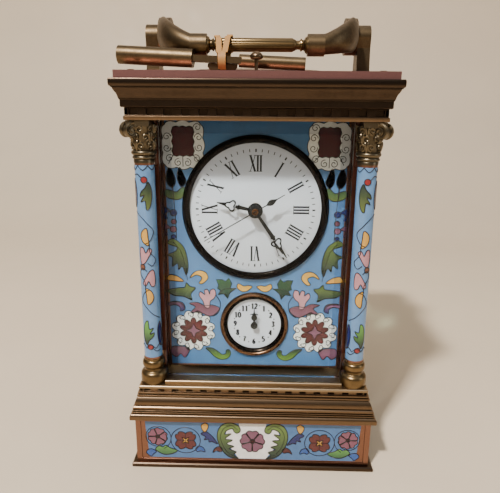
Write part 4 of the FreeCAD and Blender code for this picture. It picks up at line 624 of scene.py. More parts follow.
def mask_motifs(panel):
    """One half of the dial mask's ornament; the other half mirrors it."""
    # big white flower low down
    curled_flower(panel, (25.6, 53.8), 9.3)
    panel.disc((25.6, 53.8), 6.0, MAROON, 3, 10, 0.34, turn=TAU / 20)
    panel.cell(star((25.6, 53.8), 3.2, 0.45, 4), MAUVE, 4, curved=False)
    # white flower at the top corner, round a dark square
    panel.cell(scalloped_square((28.0, 131.0), 8.0, 8.8, 3), WHITE, 2, curved=False)
    square = [(24.2, 127.2), (31.8, 127.2), (31.8, 137.6), (24.2, 137.6)]
    edge = []
    for index, (u, v) in enumerate(square):
        nu, nv = square[(index + 1) % 4]
        for step in range(6):
            t = step / 6
            bulge = 0.5 * (step % 2)
            edge.append((u + (nu - u) * t + (nv - v) / 9 * bulge, v + (nv - v) * t - (nu - u) / 9 * bulge))
    panel.cell(edge, MAROON, 3, curved=False)
    for u, v, start, way in ((22.0, 134.0, 0.0, 1), (21.9, 130.2, 0.3, -1), (23.0, 126.0, 0.9, 1),
                             (26.4, 124.4, 1.4, 1), (30.0, 124.4, 1.7, -1), (33.2, 126.0, 2.6, -1),
                             (34.1, 130.0, 3.1, 1), (34.0, 134.2, 3.1, -1), (22.4, 137.6, 0.0, 1)):
        panel.line(spiral((u, v), 1.6, start, 1.25 * way), False, 3, width=0.15)
    for u0, v0, u1, v1 in ((24.2, 127.2, 22.0, 124.9), (28.2, 127.0, 28.2, 122.9),
                           (32.0, 127.2, 33.6, 123.9)):
        panel.line([(u0, v0), (u1, v1)], False, 3, width=0.15)
    # pair of pointed leaves under it
    panel.cell([(29.6, 122.6), (28.0, 119.6), (27.2, 117.0), (28.9, 114.9), (30.4, 117.0), (30.6, 119.6)],
               DEEP_GREEN, 1, NIGHT_GREEN)
    panel.cell([(33.4, 122.4), (32.0, 119.8), (31.3, 117.2), (32.6, 114.8), (34.4, 116.4), (34.8, 119.6)],
               linear(70, 104, 96), 1, DEEP_GREEN)
    panel.cell([(35.2, 113.8), (33.2, 113.6), (31.0, 113.0), (29.2, 114.6), (27.4, 114.6), (28.0, 111.8),
                (30.2, 110.0), (33.2, 110.2), (35.4, 111.6)], linear(82, 98, 44), 2, linear(48, 78, 50))
    # commas beside the dial
    for u, v, colour in ((32.4, 104.6, NAVY), (32.7, 97.9, MAUVE)):
        panel.disc((u, v), 1.25, colour, 2)
        panel.cell([(u + 1.0, v + 0.6), (u + 3.2, v + 2.2), (u + 4.6, v + 0.4), (u + 4.0, v - 2.2),
                    (u + 2.4, v - 2.4), (u + 3.2, v - 0.6), (u + 2.2, v + 0.2)], colour, 2)
    panel.disc((32.4, 101.0), 1.0, PLUM, 2)
    panel.disc((32.7, 94.8), 0.8, NAVY, 2)
    # large leaves on the stem
    panel.curve([(32.6, 116), (31.9, 104), (31.6, 93.6)], 1)
    panel.cell([(35.2, 92.0), (33.4, 94.0), (31.0, 92.8), (28.8, 90.4), (27.5, 86.0), (27.2, 81.6),
                (28.2, 78.6), (29.6, 82.2), (31.2, 80.8), (31.6, 83.6), (33.6, 82.2), (33.4, 86.0),
                (35.6, 87.0), (32.6, 88.4), (31.6, 90.4)], NIGHT_GREEN, 2, OLIVE)
    panel.curve([(33.0, 92.6), (30.4, 89.2), (28.9, 84.6), (28.1, 79.2), (27.6, 76.4)], 3, 0.11)
    # yellow crescent and orange leaf
    panel.cell([(21.4, 75.0), (19.2, 77.4), (20.0, 79.8), (22.6, 80.7), (25.0, 79.7), (26.6, 77.4),
                (24.0, 78.7), (21.9, 77.9), (22.0, 76.6), (23.0, 75.2)], YELLOW, 2)
    panel.cell([(36.0, 77.0), (34.7, 78.7), (31.8, 78.1), (29.2, 75.9), (32.4, 75.9), (35.2, 76.2)],
               linear(214, 146, 58), 2, YELLOW)
    # yellow pod and serrated leaf between the dials
    panel.cell([(0.9, 74.0), (2.6, 74.5), (4.4, 74.2), (6.6, 75.2), (7.2, 73.6), (5.6, 72.0), (3.4, 71.9),
                (1.8, 73.0)], YELLOW, 2)
    panel.cell([(7.4, 73.2), (10.0, 73.0), (9.4, 75.2), (10.6, 77.6), (12.0, 76.0), (13.4, 76.9),
                (15.8, 76.8), (14.9, 74.6), (15.4, 72.9), (14.0, 72.2), (15.2, 70.2), (12.8, 70.6),
                (11.0, 68.4), (10.4, 70.8), (9.4, 71.8)], DEEP_GREEN, 2, linear(38, 72, 44), curved=False)
    panel.curve([(7.4, 73.2), (12.0, 72.8), (15.2, 70.2)], 3, 0.1)
    # tulip over the mauve leaf
    panel.cell([(16.0, 70.4), (16.6, 72.6), (18.2, 72.2), (18.6, 70.4), (19.4, 72.4), (20.8, 72.0),
                (20.6, 70.2), (22.4, 71.4), (23.0, 69.6), (21.4, 67.2), (20.6, 64.6), (18.8, 64.4),
                (18.4, 67.2), (17.0, 68.4)], PINK, 3)
    panel.cell([(14.6, 64.2), (17.6, 65.6), (20.6, 65.2), (23.6, 66.6), (27.2, 66.2), (24.6, 64.6),
                (26.4, 62.4), (22.2, 62.0), (19.0, 60.6), (16.6, 61.4)], MAUVE, 2, PLUM)
    panel.curve([(16.2, 70.2), (14.2, 66.6), (15.0, 62.4), (17.4, 60.4)], 2)
    # olive leaf on the outer side
    panel.cell([(24.4, 73.0), (26.6, 73.6), (28.2, 75.2), (28.9, 73.2), (31.6, 72.9), (36.0, 71.8),
                (33.4, 69.6), (29.4, 69.2), (26.0, 67.6), (26.4, 70.4)], DEEP_GREEN, 2, OLIVE)
    panel.curve([(36.0, 66.2), (33.4, 66.8), (30.6, 66.0), (29.0, 63.8)], 2)
    panel.cell([(29.0, 63.6), (29.8, 66.2), (32.6, 67.0), (35.4, 66.4), (35.4, 65.0), (33.0, 65.4),
                (31.2, 64.4), (31.0, 62.6)], NAVY, 2, MAUVE)
    # curled leaf beside the alarm dial and a small petal at the corner
    panel.cell([(20.6, 45.8), (18.0, 45.9), (15.4, 44.4), (13.6, 42.9), (12.0, 43.4), (11.9, 44.9),
                (10.6, 45.2), (9.8, 43.4), (11.2, 41.2), (14.0, 40.5), (16.8, 41.8), (18.8, 44.0)],
               linear(104, 134, 58), 2, DEEP_GREEN)
    panel.cell([(27.6, 45.4), (31.0, 46.4), (34.6, 46.2), (35.4, 43.4), (33.2, 41.4), (31.4, 42.9),
                (29.8, 41.2), (28.4, 42.8)], MAUVE, 2)


def column_motifs(panel):
    """The climbing ornament on one column, for the left front; the right one mirrors it."""
    wide = 5.6
    for level, rise in ((123.6, 1.5), (52.6, -1.5)):
        ends, dip = level + rise * 0.6, level - rise * 0.5
        for index in range(3):
            u = wide * (index - 1) / 1.5
            panel.curve([(u - wide / 3, ends), (u, dip), (u + wide / 3, ends)])
    for sign in (1, -1):
        def flip(points, base=171.9):
            return [(u * sign, v if sign > 0 else base - v) for u, v in points]
        low, high = (OLIVE, DEEP_GREEN) if sign > 0 else (DEEP_GREEN, linear(96, 158, 66))
        panel.disc(flip([(0.3, 119.4)])[0], 1.15, RED, 2)
        panel.curve(flip([(-4.0, 121.0), (-2.2, 121.4), (-0.7, 120.0)]), 1)
        panel.cell(flip([(1.7, 118.6), (0.6, 116.6), (-1.0, 114.9), (-1.4, 113.2), (0.2, 113.8),
                         (-1.2, 111.2), (0.4, 111.6), (0.8, 108.2), (2.2, 109.4), (3.0, 113.0),
                         (2.8, 116.4)]), low, 2, high)
        panel.cell(flip([(-4.6, 119.4), (-3.4, 118.0), (-2.9, 114.6), (-3.1, 111.0), (-4.2, 109.0),
                         (-5.2, 113.0)]), NAVY, 1)
        panel.curve(flip([(-4.2, 107.4), (-1.4, 105.4), (0.9, 102.8), (3.0, 99.8), (1.4, 96.2),
                          (-0.4, 95.2)]), 1)
        panel.cell(flip([(0.4, 101.2), (-1.4, 100.0), (-1.9, 97.8), (-1.0, 95.6), (0.9, 94.6), (0.8, 98.0)]),
                   YELLOW, 2)
        panel.cell(flip([(-2.6, 93.4), (-1.2, 93.6), (-0.3, 91.6), (0.8, 93.4), (2.0, 92.6), (0.8, 90.2),
                         (-0.8, 87.6), (-2.2, 87.2), (-2.8, 89.6)]), PINK, 2)
        panel.curve(flip([(0.2, 87.6), (2.0, 86.4), (3.4, 88.8), (1.2, 92.0), (1.2, 95.2)]), 1)
    panel.cell([(-2.6, 86.9), (-1.2, 86.9), (-0.9, 85.9), (-1.2, 85.0), (-2.6, 85.0), (-3.0, 85.9)], BROWN, 3)


def plaque_motifs(panel):
    """One half of the plinth's long panel."""
    panel.line(spiral((39.4, 13.2), 6.0, math.pi * 1.35, -1.25, 0.62, 30), False, 1)
    five_petals(panel, (39.3, 13.6), 4.1, linear(124, 72, 90), 2, math.pi / 2 + 0.3, MAROON)
    panel.cell([(44.3, 5.6), (43.4, 7.2), (41.6, 7.4), (40.1, 6.2), (41.4, 5.0), (42.4, 3.9)], BLUE, 2)
    panel.cell([(40.4, 7.2), (39.0, 9.0), (37.4, 8.6), (36.0, 9.4), (34.2, 8.2), (31.2, 7.0), (33.4, 5.4),
                (37.0, 5.0)], GREEN, 2, linear(92, 150, 70))
    panel.line(circle((27.7, 12.0), 6.1, 36), True, 1)
    panel.cell(scalloped_square((27.7, 12.0), 3.5, 3.4, 2, bulge=0.34), linear(86, 28, 30), 2, curved=False)
    for u, v in ((0, 1), (1, 0)):
        panel.line([(27.7 - 3.4 * u, 12.0 - 3.4 * v), (27.7 + 3.4 * u, 12.0 + 3.4 * v)], False, 3, width=0.1)
    panel.cell(star((27.7, 12.0), 1.9, 0.35, 4, TAU / 8), YELLOW, 4, curved=False)
    panel.cell([(23.6, 7.8), (22.4, 9.3), (20.4, 8.6), (19.7, 6.6), (21.4, 7.1), (22.8, 6.6)], BLUE, 2)
    panel.cell([(19.5, 20.4), (21.1, 19.2), (20.7, 17.2), (19.6, 16.2), (18.6, 17.4), (18.2, 19.4)], YELLOW,
               2)
    panel.cell([(21.3, 15.3), (19.2, 16.3), (17.6, 15.2), (16.0, 13.4), (14.4, 10.6), (16.6, 11.6),
                (18.0, 11.4), (18.2, 12.8), (20.0, 12.4), (19.4, 13.9)], NAVY, 2)
    panel.cell([(16.4, 6.4), (15.6, 8.4), (13.6, 9.4), (12.4, 8.0), (13.2, 6.8), (15.0, 7.2)], MAROON, 2)
    # acanthus curl round the cartouche
    panel.cell([(5.7, 3.7), (9.4, 4.4), (12.2, 7.0), (13.9, 10.6), (14.6, 14.4), (13.8, 18.0), (11.6, 20.2),
                (8.4, 20.6), (5.6, 19.2), (5.0, 17.0), (6.4, 15.9), (7.6, 16.6), (8.2, 18.0), (10.4, 17.2),
                (11.4, 15.4), (8.8, 15.6), (11.2, 13.2), (8.2, 12.6), (10.6, 10.8), (7.6, 9.6), (9.6, 8.4),
                (6.6, 7.0), (7.6, 5.6)], DEEP_GREEN, 3, linear(98, 122, 58))
    panel.curve([(6.6, 3.8), (11.0, 7.6), (13.2, 13.6), (11.8, 18.0), (8.6, 19.4), (6.2, 17.6)], 4, 0.1)


def mirrored(panel, motifs):
    for side in (1, -1):
        panel.mirror = side
        motifs(panel)
    panel.mirror = 1


# ---------------------------------------------------------------- case
def moulded(name, node, profile, well, metal_of, bevel):
    """A moulding in the place of a CAD node, its profile measured up from the node's foot."""
    foot = span(node)[0].z
    piece = Piece(name)
    piece.add(moulding([(inset, foot + rise) for inset, rise in profile], *well), metal_of)
    piece.make("case", "antique_brass", node, bevel=bevel)


def case_mouldings():
    base = [(0.5, 0.0), (0.1, 0.25), (0.0, 0.7), (0.0, 1.8), (0.25, 2.4), (0.8, 2.8), (1.5, 2.85),
            (1.5, 3.1), (0.9, 3.15), (0.9, 3.6), (1.7, 3.65), (1.7, 3.9), (1.15, 3.95), (1.15, 4.3),
            (2.0, 4.35), (2.0, 4.6), (1.35, 4.65), (1.2, 5.0), (1.3, 5.5), (1.7, 5.85), (2.3, 5.9),
            (2.3, 6.2), (1.9, 6.25), (2.0, 7.2), (2.4, 8.3), (3.1, 9.2), (3.7, 9.3), (3.7, 9.6),
            (2.9, 9.65), (2.9, 10.3), (3.6, 10.35), (3.6, 10.7), (3.2, 10.75), (3.2, 11.4)]
    moulded("base_moulding_ring", "base_moulding", base, (30, 26), ANTIQUE, 0.08)
    crown = [(3.4, 0.0), (3.1, 0.15), (2.9, 0.3), (2.9, 2.5), (2.6, 2.7), (2.6, 3.1), (2.45, 3.15),
             (2.35, 3.8), (2.0, 4.7), (1.4, 5.5), (1.05, 6.2), (1.0, 6.5), (0.6, 6.55), (0.6, 6.9),
             (0.3, 6.95), (0.05, 7.3), (0.0, 7.9), (0.0, 8.9), (0.12, 9.4), (0.3, 9.6)]
    moulded("cornice_ring", "cornice", crown, (33, 28), CORNICE, 0.08)
    ledge = [(3.7, 0.0), (3.6, 0.15), (3.6, 1.3), (3.75, 1.5)]
    moulded("architrave_fillet", "architrave", ledge, (38.2, 37.2), ANTIQUE, 0.1)
    low, high = span("plinth_frame")
    piece = Piece("plinth_body")
    piece.add(moulding([(3.1, low.z), (3.1, high.z)], 45.2, 39.2), COPPER)
    for base, top in ((low.z, low.z + 1.1), (high.z - 1.1, high.z)):
        piece.add(moulding([(1.8, base), (1.8, top)], 46, 40), COPPER)
    for x, y in CORNERS:
        piece.add(block((46.0 * x, 40.0 * y, low.z), (48.19 * x, 42.19 * y, high.z)), COPPER)
    piece.make("case", "antique_brass", "plinth_frame", bevel=0.12)
    low, high = span("bottom_plate")
    slab = [(0.3, 0), (0.0, 0.3), (0.0, high.z - low.z - 0.5), (0.5, high.z - low.z)]
    moulded("bottom_slab", "bottom_plate", slab, (1, 1), CORNICE, 0.1)


def dentils(name, node, count, gap, deep, metal_of):
    """A band cut by square gaps all round, with thin rails above and below."""
    low, high = span(node)
    rail = (high.z - low.z) * 0.1
    foot, head = low.z + rail, high.z - rail
    piece = Piece(name)
    for inset, base, top in ((0, low.z, foot), (0, head, high.z), (deep, foot, head)):
        piece.add(moulding([(inset, base), (inset, top)], 35, 30, high.x, high.y), metal_of)
    for half_run, half_depth, order in ((high.x, high.y, 1), (high.y, high.x, -1)):
        number = round(count * half_run / high.x)
        pitch = 2 * half_run / number
        width = pitch - gap
        for index in range(number + 1):
            start = -half_run + index * pitch - width / 2
            ends = max(start, -half_run), min(start + width, half_run)
            for side in (-1, 1):
                near, far = (ends[0], side * (half_depth - deep * 1.2)), (ends[1], side * half_depth)
                piece.add(block((*near[::order], foot), (*far[::order], head)), metal_of)
    piece.make("case", "antique_brass", node, bevel=0.1)


def deck():
    piece = Piece("deck")
    rise = 34.8
    sill = [(-38.3, -0.01), (-38.3, 1.1), (-38.0, 1.4), (-36.9, 1.4), (-36.7, 1.1), (-36.7, -0.01)]
    piece.add(moulding([(3.6, rise), (3.6, rise + 0.9), (3.9, rise + 1.2)], 1, 1), DECK)
    piece.add(prism(sill, -36.0, 36.0, "x", (0, 0, rise + 1.2)), DECK)
    piece.make("case", "antique_brass", "deck_plate", bevel=0.1)


def drilled_plate(piece, outline, holes, place, levels, metal_of):
    """A flat plate between two levels with holes through it; place turns u, v and level into a point."""
    found, kept = filled(outline, holes)
    for level in levels:
        piece.add(([place(p.x, p.y, level) for p in found], kept), metal_of)
    for ring in [outline] + holes:
        points = [place(u, v, level) for level in levels for u, v in ring]
        piece.add((points, skin(2, len(ring))), metal_of)


def copper_plate():
    low, high = span("top_plate")
    piece = Piece("copper_top_plate")
    window = [(29.7 * u, 21.7 * v) for u, v in circle((0, 0), 1.0)]
    outer = [(-high.x, -high.y), (high.x, -high.y), (high.x, high.y), (-high.x, high.y)]
    drilled_plate(piece, outer, [window], lambda u, v, level: (u, v, level), (low.z, high.z), PINK_COPPER)
    for side, end in CORNERS:
        piece.add(lathe([(0, 0), (1.5, 0.0), (1.5, 0.25), (1.1, 0.5), (0, 0.55)],
                        (43.5 * side, 37.5 * end, high.z - 0.02), "z", 24), BRIGHT)
    piece.make("case", "copper", "top_plate")


def columns():
    foot = span("column_bases")[0].z
    profile = [(1.5, 0), (5.0, 0), (5.3, 0.4), (5.4, 1.4), (5.4, 3.2), (5.25, 4.2), (4.8, 4.9), (4.1, 5.2),
               (3.8, 5.5), (3.7, 6.3), (3.9, 6.8), (4.3, 7.1), (4.5, 7.7), (4.5, 8.9), (4.3, 9.6),
               (3.95, 10.0), (3.8, 10.1), (3.9, 10.3), (3.9, 10.9), (3.75, 11.0), (1.5, 11.0)]
    piece = Piece("column_bases_turned")
    for x, y in CORNERS:
        piece.add(lathe(profile, (COLUMN_X * x, COLUMN_Y * y, foot), "z", 48, True), BRIGHT)
    piece.make("case", "bright_brass", "column_bases", sharp=50)
    low, high = span("column_shafts")
    piece = Piece("column_shafts_enamelled")
    for side, end in CORNERS:
        x, y = COLUMN_X * side, COLUMN_Y * end
        tube_wall = [(1.5, low.z), (3.66, low.z), (3.66, high.z), (1.5, high.z)]
        piece.add(lathe(tube_wall, (x, y, 0), "z", 40), ENAMEL, LIGHT_SKY)
        for level, rise in ((low.z, 0.8), (high.z, -0.8)):
            band = [(3.5, level), (3.7, level), (3.7, level + rise), (3.5, level + rise)]
            piece.add(lathe(band, (x, y, 0), "z", 40), COPPER)
        for facing, mirror in ((-math.pi / 2, -side), (math.pi / 2, side)):
            panel = Panel(piece, round_post((x, y), 3.67, facing), 0.7)
            panel.mirror = mirror
            column_motifs(panel)
    piece.make("case", "column_enamel", "column_shafts")


def capital(piece, x, y, sign_x, sign_y):
    """Cast capital: neck rings, a bell of curls and leaves, a slab and a volute on the outer diagonal."""
    base = 125.4
    neck = [(1.5, 0), (3.8, 0), (3.85, 1.1), (3.7, 1.25), (3.95, 1.4), (4.25, 1.7), (4.25, 2.1), (3.9, 2.45),
            (3.85, 2.6), (4.3, 2.9), (4.6, 3.3), (4.6, 3.9), (4.3, 4.3), (3.7, 4.6), (3.9, 6.0), (4.0, 9.0),
            (4.2, 11.4), (4.6, 12.9), (4.6, 13.6), (1.5, 13.6)]
    piece.add(lathe(neck, (x, y, base), "z", 40, True), CAST)
    inner, outer = 3.3, 5.0
    piece.add(block((x - inner * sign_x, y - inner * sign_y, 138.4),
                    (x + outer * sign_x, y + outer * sign_y, 140.4)), CAST)
    out = Vector((sign_x, sign_y, 0)).normalized()
    side = Vector((-out.y, out.x, 0))
    hub = Vector((x, y, 0)) + out * 5.5 + Vector((0, 0, 136.9))
    for across in (-1.8, 1.8):
        coil = []
        for step in range(44):
            share = step / 43
            angle = 0.6 * math.pi - TAU * 1.6 * share
            reach = 2.7 * (1 - 0.8 * share)
            coil.append(hub + side * across + out * (reach * math.cos(angle))
                        + Vector((0, 0, reach * math.sin(angle))))
        piece.add(tube(coil, [0.72 - 0.4 * i / 43 for i in range(44)], 7), CAST)
    piece.add(tube([hub - side * 1.7, hub + side * 1.7], 2.3, 24), CAST)

    def on_bell(angle, u, v, lift):
        radius = 4.05 + 0.06 * (v - 5.0) + lift
        return (*polar((x, y), radius, angle + u / radius), base + v)

    for row, (level, reach, count) in enumerate(((6.3, 1.35, 8), (9.2, 1.4, 8), (12.0, 1.3, 8))):
        for index in range(count):
            angle = TAU * (index + 0.5 * (row % 2)) / count
            way = 1 if (index + row) % 2 else -1
            curl = [on_bell(angle, u, level + v, 0.1 + 0.25 * step / 17)
                    for step, (u, v) in enumerate(spiral((0, 0), reach, -math.pi / 2, 1.3 * way, 0.2, 18))]
            piece.add(tube(curl, [0.42 - 0.2 * i / (len(curl) - 1) for i in range(len(curl))], 6), CAST)
            stem = [on_bell(angle, u, v, lift) for u, v, lift in ((1.5 * way, level - 2.0, 0.0), (1.5 * way,
                                                                                                  level - 0.4,
                                                                                                  0.25),
                                                                  (1.35 * way, level + 1.2, 0.35),
                                                                  (1.1 * way, level + 1.9, 0.1))]
            stem = smooth(stem, False, 4)
            last = len(stem) - 1
            piece.add(tube(stem, [0.2 + 0.24 * math.sin(math.pi * i / last) for i in range(last + 1)], 6),
                      CAST)


def capitals():
    piece = Piece("column_capitals_cast")
    for side, end in CORNERS:
        capital(piece, COLUMN_X * side, COLUMN_Y * end, side, end)
    piece.make("case", "antique_brass", "column_capitals", sharp=50)


def front_pane():
    """The front glass: a clear middle with a wide ground bevel round it, the bevel in darker bluish glass
    that is painted shade.
    """
    low, high = span("front_glass")
    bevel, deep = 4.6, 1.0
    rings = []
    for inset, y in ((bevel, low.y), (0, low.y + deep), (0, high.y)):
        rings.append([(low.x + inset, y, low.z + inset), (high.x - inset, y, low.z + inset),
                      (high.x - inset, y, high.z - inset), (low.x + inset, y, high.z - inset)])
    points = rings[0] + rings[1] + rings[2]
    ground = [[i, i + 4, (i + 1) % 4 + 4, (i + 1) % 4] for i in range(4)]
    edges = [[i + 4, i + 8, (i + 1) % 4 + 8, (i + 1) % 4 + 4] for i in range(4)]
    piece = Piece("front_glass_pane")
    piece.add((points, [[0, 1, 2, 3], [11, 10, 9, 8]] + edges), GLASS)
    # painted shade: the bevel faces get the darker tinted glass in place of the dim surroundings they reflect
    piece.add((points, ground), PAINTED_SHADE_BEVEL_GLASS)
    piece.make("case", "glass", "front_glass", sharp=10)


# ---------------------------------------------------------------- dials
def mask():
    low, high = span("dial_mask")
    piece = Piece("dial_mask_enamelled")
    half, foot, head = high.x, low.z, high.z
    front, back, edge = -25.0, -23.6, 0.8
    holes = [circle(MAIN_DIAL, 26.7, 96), circle(ALARM_DIAL, 11.7, 64)]
    panel = Panel(piece, flat_front(front + 0.02))
    panel.cell([(-half + edge, foot + edge), (half - edge, foot + edge), (half - edge, head), (-half + edge,
                                                                                               head)], SKY,
               1, wire=False, curved=False, holes=holes)
    rim = [(-half, foot), (half, foot), (half, head), (-half, head)]
    drilled_plate(piece, rim, holes, lambda u, v, level: (u, level, v), (front, back), COPPER)
    for side in (-1, 1):
        piece.add(block((side * 35.85, -28.0, foot), (side * 36.1, back, head)), DARK_COPPER)
    mirrored(panel, mask_motifs)
    piece.make("case", "enamel", "dial_mask")


def strokes(piece, y, turn_by, radius, lines, tall):
    """Strokes of a numeral with its foot towards the dial's centre; heights are shares of tall."""
    angle = math.radians(turn_by)
    for a0, r0, a1, r1, width in lines:
        start, end = Vector((a0, r0 * tall)), Vector((a1, r1 * tall))
        run = end - start
        across = Vector((-run.y, run.x)).normalized() * width / 2
        points = []
        for corner in (start + across, start - across, end - across, end + across):
            reach = radius + corner.y
            points.append((MAIN_DIAL[0] + corner.x * math.cos(angle) + reach * math.sin(angle), y,
                           MAIN_DIAL[1] - corner.x * math.sin(angle) + reach * math.cos(angle)))
        piece.add((points, [[0, 1, 2, 3]]), INK)


ROMAN = ["XII", "I", "II", "III", "IIII", "V", "VI", "VII", "VIII", "IX", "X", "XI"]
GLYPH_WIDE = {"I": 1.2, "V": 2.7, "X": 2.7}
INK_LIFT = 0.02


def roman_lines(word):
    """Thick and thin strokes with serifs; the height runs from 0 to 1."""
    total = sum(GLYPH_WIDE[letter] for letter in word)
    at = -total / 2
    lines = []
    for letter in word:
        wide = GLYPH_WIDE[letter]
        mid = at + wide / 2
        if letter == "I":
            lines.append((mid, 0, mid, 1, 0.72))
            lines += [(mid - 0.62, level, mid + 0.62, level, 0.2) for level in (0.015, 0.985)]
        elif letter == "V":
            lines.append((mid - 0.95, 1, mid, 0, 0.78))
            lines.append((mid + 0.95, 1, mid, 0, 0.26))
            lines += [(mid + side * 0.95 - 0.6, 0.98, mid + side * 0.95 + 0.6, 0.98, 0.2) for side in (-1, 1)]
        else:
            lines.append((mid - 0.95, 1, mid + 0.95, 0, 0.78))
            lines.append((mid + 0.95, 1, mid - 0.95, 0, 0.26))
            lines += [(mid + side * 0.95 - 0.55, level, mid + side * 0.95 + 0.55, level, 0.2)
                      for side in (-1, 1) for level in (0.015, 0.985)]
        at += wide
    return lines


def dials():
    ground = linear(212, 212, 224)
    piece, y = Piece("main_dial_enamel"), span("main_dial")[0].y
    face = [(2.7, -1.0), (26.45, -1.0), (26.45, -0.2), (26.0, 0.0), (2.7, 0.0)]
    piece.add(lathe(face, (0, y, MAIN_DIAL[1]), "f", 96, True), DIAL_WHITE, ground)
    for hour, word in enumerate(ROMAN):
        strokes(piece, y - INK_LIFT, hour * 30, 15.0, roman_lines(word), 6.3)
    for minute in range(60):
        strokes(piece, y - INK_LIFT, minute * 6, 22.5, [(0, 0, 0, 1, 0.32 if minute % 5 else 0.6)], 1.2)
    piece.make("case", "dial_white", "main_dial")
    piece, y = Piece("alarm_dial_enamel"), span("alarm_dial")[0].y
    face = [(1.0, -1.0), (11.45, -1.0), (11.45, -0.2), (11.2, 0.0), (1.0, 0.0)]
    piece.add(lathe(face, (0, y, ALARM_DIAL[1]), "f", 64, True), DIAL_WHITE, ground)
    for hour in range(12):
        figure(piece, y - INK_LIFT, hour or 12, math.radians(hour * 30), 8.0)
        dot = circle(polar(ALARM_DIAL, 8.6, math.radians(75 - hour * 30)), 0.3, 10)
        piece.add(([(u, y - INK_LIFT, v) for u, v in dot], [list(range(10))]), INK)
    piece.make("case", "dial_white", "alarm_dial")


DIGITS = {
    "0": [[(0.5, 0.0), (0.12, 0.25), (0.12, 0.75), (0.5, 1.0), (0.88, 0.75), (0.88, 0.25), (0.5, 0.0)]],
    "1": [[(0.25, 0.8), (0.55, 1.0), (0.55, 0.0)], [(0.25, 0.0), (0.85, 0.0)]],
    "2": [[(0.12, 0.78), (0.45, 1.0), (0.85, 0.75), (0.6, 0.42), (0.1, 0.02), (0.9, 0.05)]],
    "3": [[(0.15, 0.85), (0.5, 1.0), (0.82, 0.78), (0.45, 0.54), (0.88, 0.28), (0.5, 0.0), (0.12, 0.14)]],
    "4": [[(0.68, 0.0), (0.68, 1.0), (0.08, 0.3), (0.95, 0.3)]],
    "5": [[(0.85, 1.0), (0.25, 1.0), (0.2, 0.55), (0.6, 0.62), (0.88, 0.3), (0.5, 0.0), (0.12, 0.1)]],
    "6": [[(0.8, 0.95), (0.35, 0.75), (0.12, 0.3), (0.5, 0.0), (0.86, 0.28), (0.5, 0.55), (0.16, 0.35)]],
    "7": [[(0.12, 0.95), (0.9, 0.98), (0.5, 0.45), (0.4, 0.0)]],
    "8": [[(0.5, 0.54), (0.18, 0.78), (0.5, 1.0), (0.82, 0.78), (0.5, 0.54), (0.12, 0.26), (0.5, 0.0),
           (0.88, 0.26), (0.5, 0.54)]],
    "9": [[(0.2, 0.05), (0.65, 0.25), (0.88, 0.7), (0.5, 1.0), (0.14, 0.72), (0.5, 0.45), (0.84, 0.65)]],
}


def figure(piece, y, number, angle, reach):
    """An upright Arabic figure on the alarm dial."""
    text = str(number)
    tall, wide = 2.3, 1.45
    u0 = reach * math.sin(angle) - wide * len(text) / 2
    v0 = ALARM_DIAL[1] + reach * math.cos(angle) - tall / 2
    for index, letter in enumerate(text):
        for path in DIGITS[letter]:
            if letter not in "147":
                path = [spot[:2] for spot in smooth([(a, b, 0) for a, b in path], False, 4)]
            ring = [(u0 + (index + 0.1 + a * 0.8) * wide, v0 + b * tall) for a, b in path]
            for (a, b), (c, d) in zip(ring, ring[1:]):
                run = Vector((c - a, d - b))
                if run.length < 1e-6:
                    continue
                ahead = run.normalized()
                across = Vector((-ahead.y, ahead.x)) * (0.15 + 0.2 * abs(ahead.y))
                a0, b0 = Vector((a, b)) - ahead * 0.05, Vector((c, d)) + ahead * 0.05
                corners = [a0 + across, a0 - across, b0 - across, b0 + across]
                piece.add(([(p.x, y, p.y) for p in corners], [[0, 1, 2, 3]]), INK)


def bezels():
    rim = [(29.0, 0.0), (29.0, 0.5), (28.75, 0.9), (28.4, 1.0), (28.3, 1.3), (27.9, 1.7), (27.4, 1.8),
           (27.0, 1.65), (26.8, 1.25), (26.55, 1.15), (26.3, 0.7), (26.0, 0.3), (26.0, 0.0)]
    outer = [(14.3, 0.0), (14.3, 0.6), (14.0, 1.1), (13.4, 1.4), (12.9, 1.3), (12.7, 1.1)]
    inner = [(12.7, 1.1), (12.3, 1.15), (11.9, 0.9), (11.3, 0.3), (11.2, 0.0), (14.3, 0.0)]
    for node, rise, slot, rings in (
            ("main_bezel", MAIN_DIAL[1], "bezel_bronze", ((rim, 128, True, BRONZE),)),
            ("alarm_bezel", ALARM_DIAL[1], "alarm_bezel_brass",
             ((outer, 96, False, ALARM_BRASS), (inner, 96, False, BRONZE)))):
        piece = Piece(node + "_turned")
        back = span(node)[1].y
        for profile, steps, closed, metal_of in rings:
            piece.add(lathe(profile, (0, back, rise), "f", steps, closed), metal_of)
        piece.make("case", slot, node, sharp=30)


# ---------------------------------------------------------------- hands
def strip(path, widths):
    """A flat outline of changing width along a straight or bent path."""
    left, right_side = [], []
    count = len(path)
    for index, point in enumerate(path):
        before, after = path[max(index - 1, 0)], path[min(index + 1, count - 1)]
        run = Vector((after[0] - before[0], after[1] - before[1])).normalized()
        across = Vector((-run.y, run.x)) * widths[index]
        left.append((point[0] + across.x, point[1] + across.y))
        right_side.append((point[0] - across.x, point[1] - across.y))
    return left + right_side[::-1]


def clover_loop(centre, reach, half, near, far, steps=72):
    """A flat wire bent into a three-lobed loop."""
    points = []
    for grow, level in ((half, far), (half, near), (-half, near), (-half, far)):
        for step in range(steps):
            angle = TAU * step / steps
            radius = reach * (1 + 0.28 * math.cos(3 * (angle - math.pi / 2))) + grow
            points.append(to_axis("f", (0, 0, 0), *polar(centre, radius, angle), level))
    return points, skin(4, steps, True)


def on_hand(shape, turn_by, centre):
    points, faces = shape
    angle = math.radians(turn_by)
    out = []
    for x, y, z in points:
        out.append((centre[0] + x * math.cos(angle) + z * math.sin(angle), y,
                    centre[1] - x * math.sin(angle) + z * math.cos(angle)))
    return out, faces


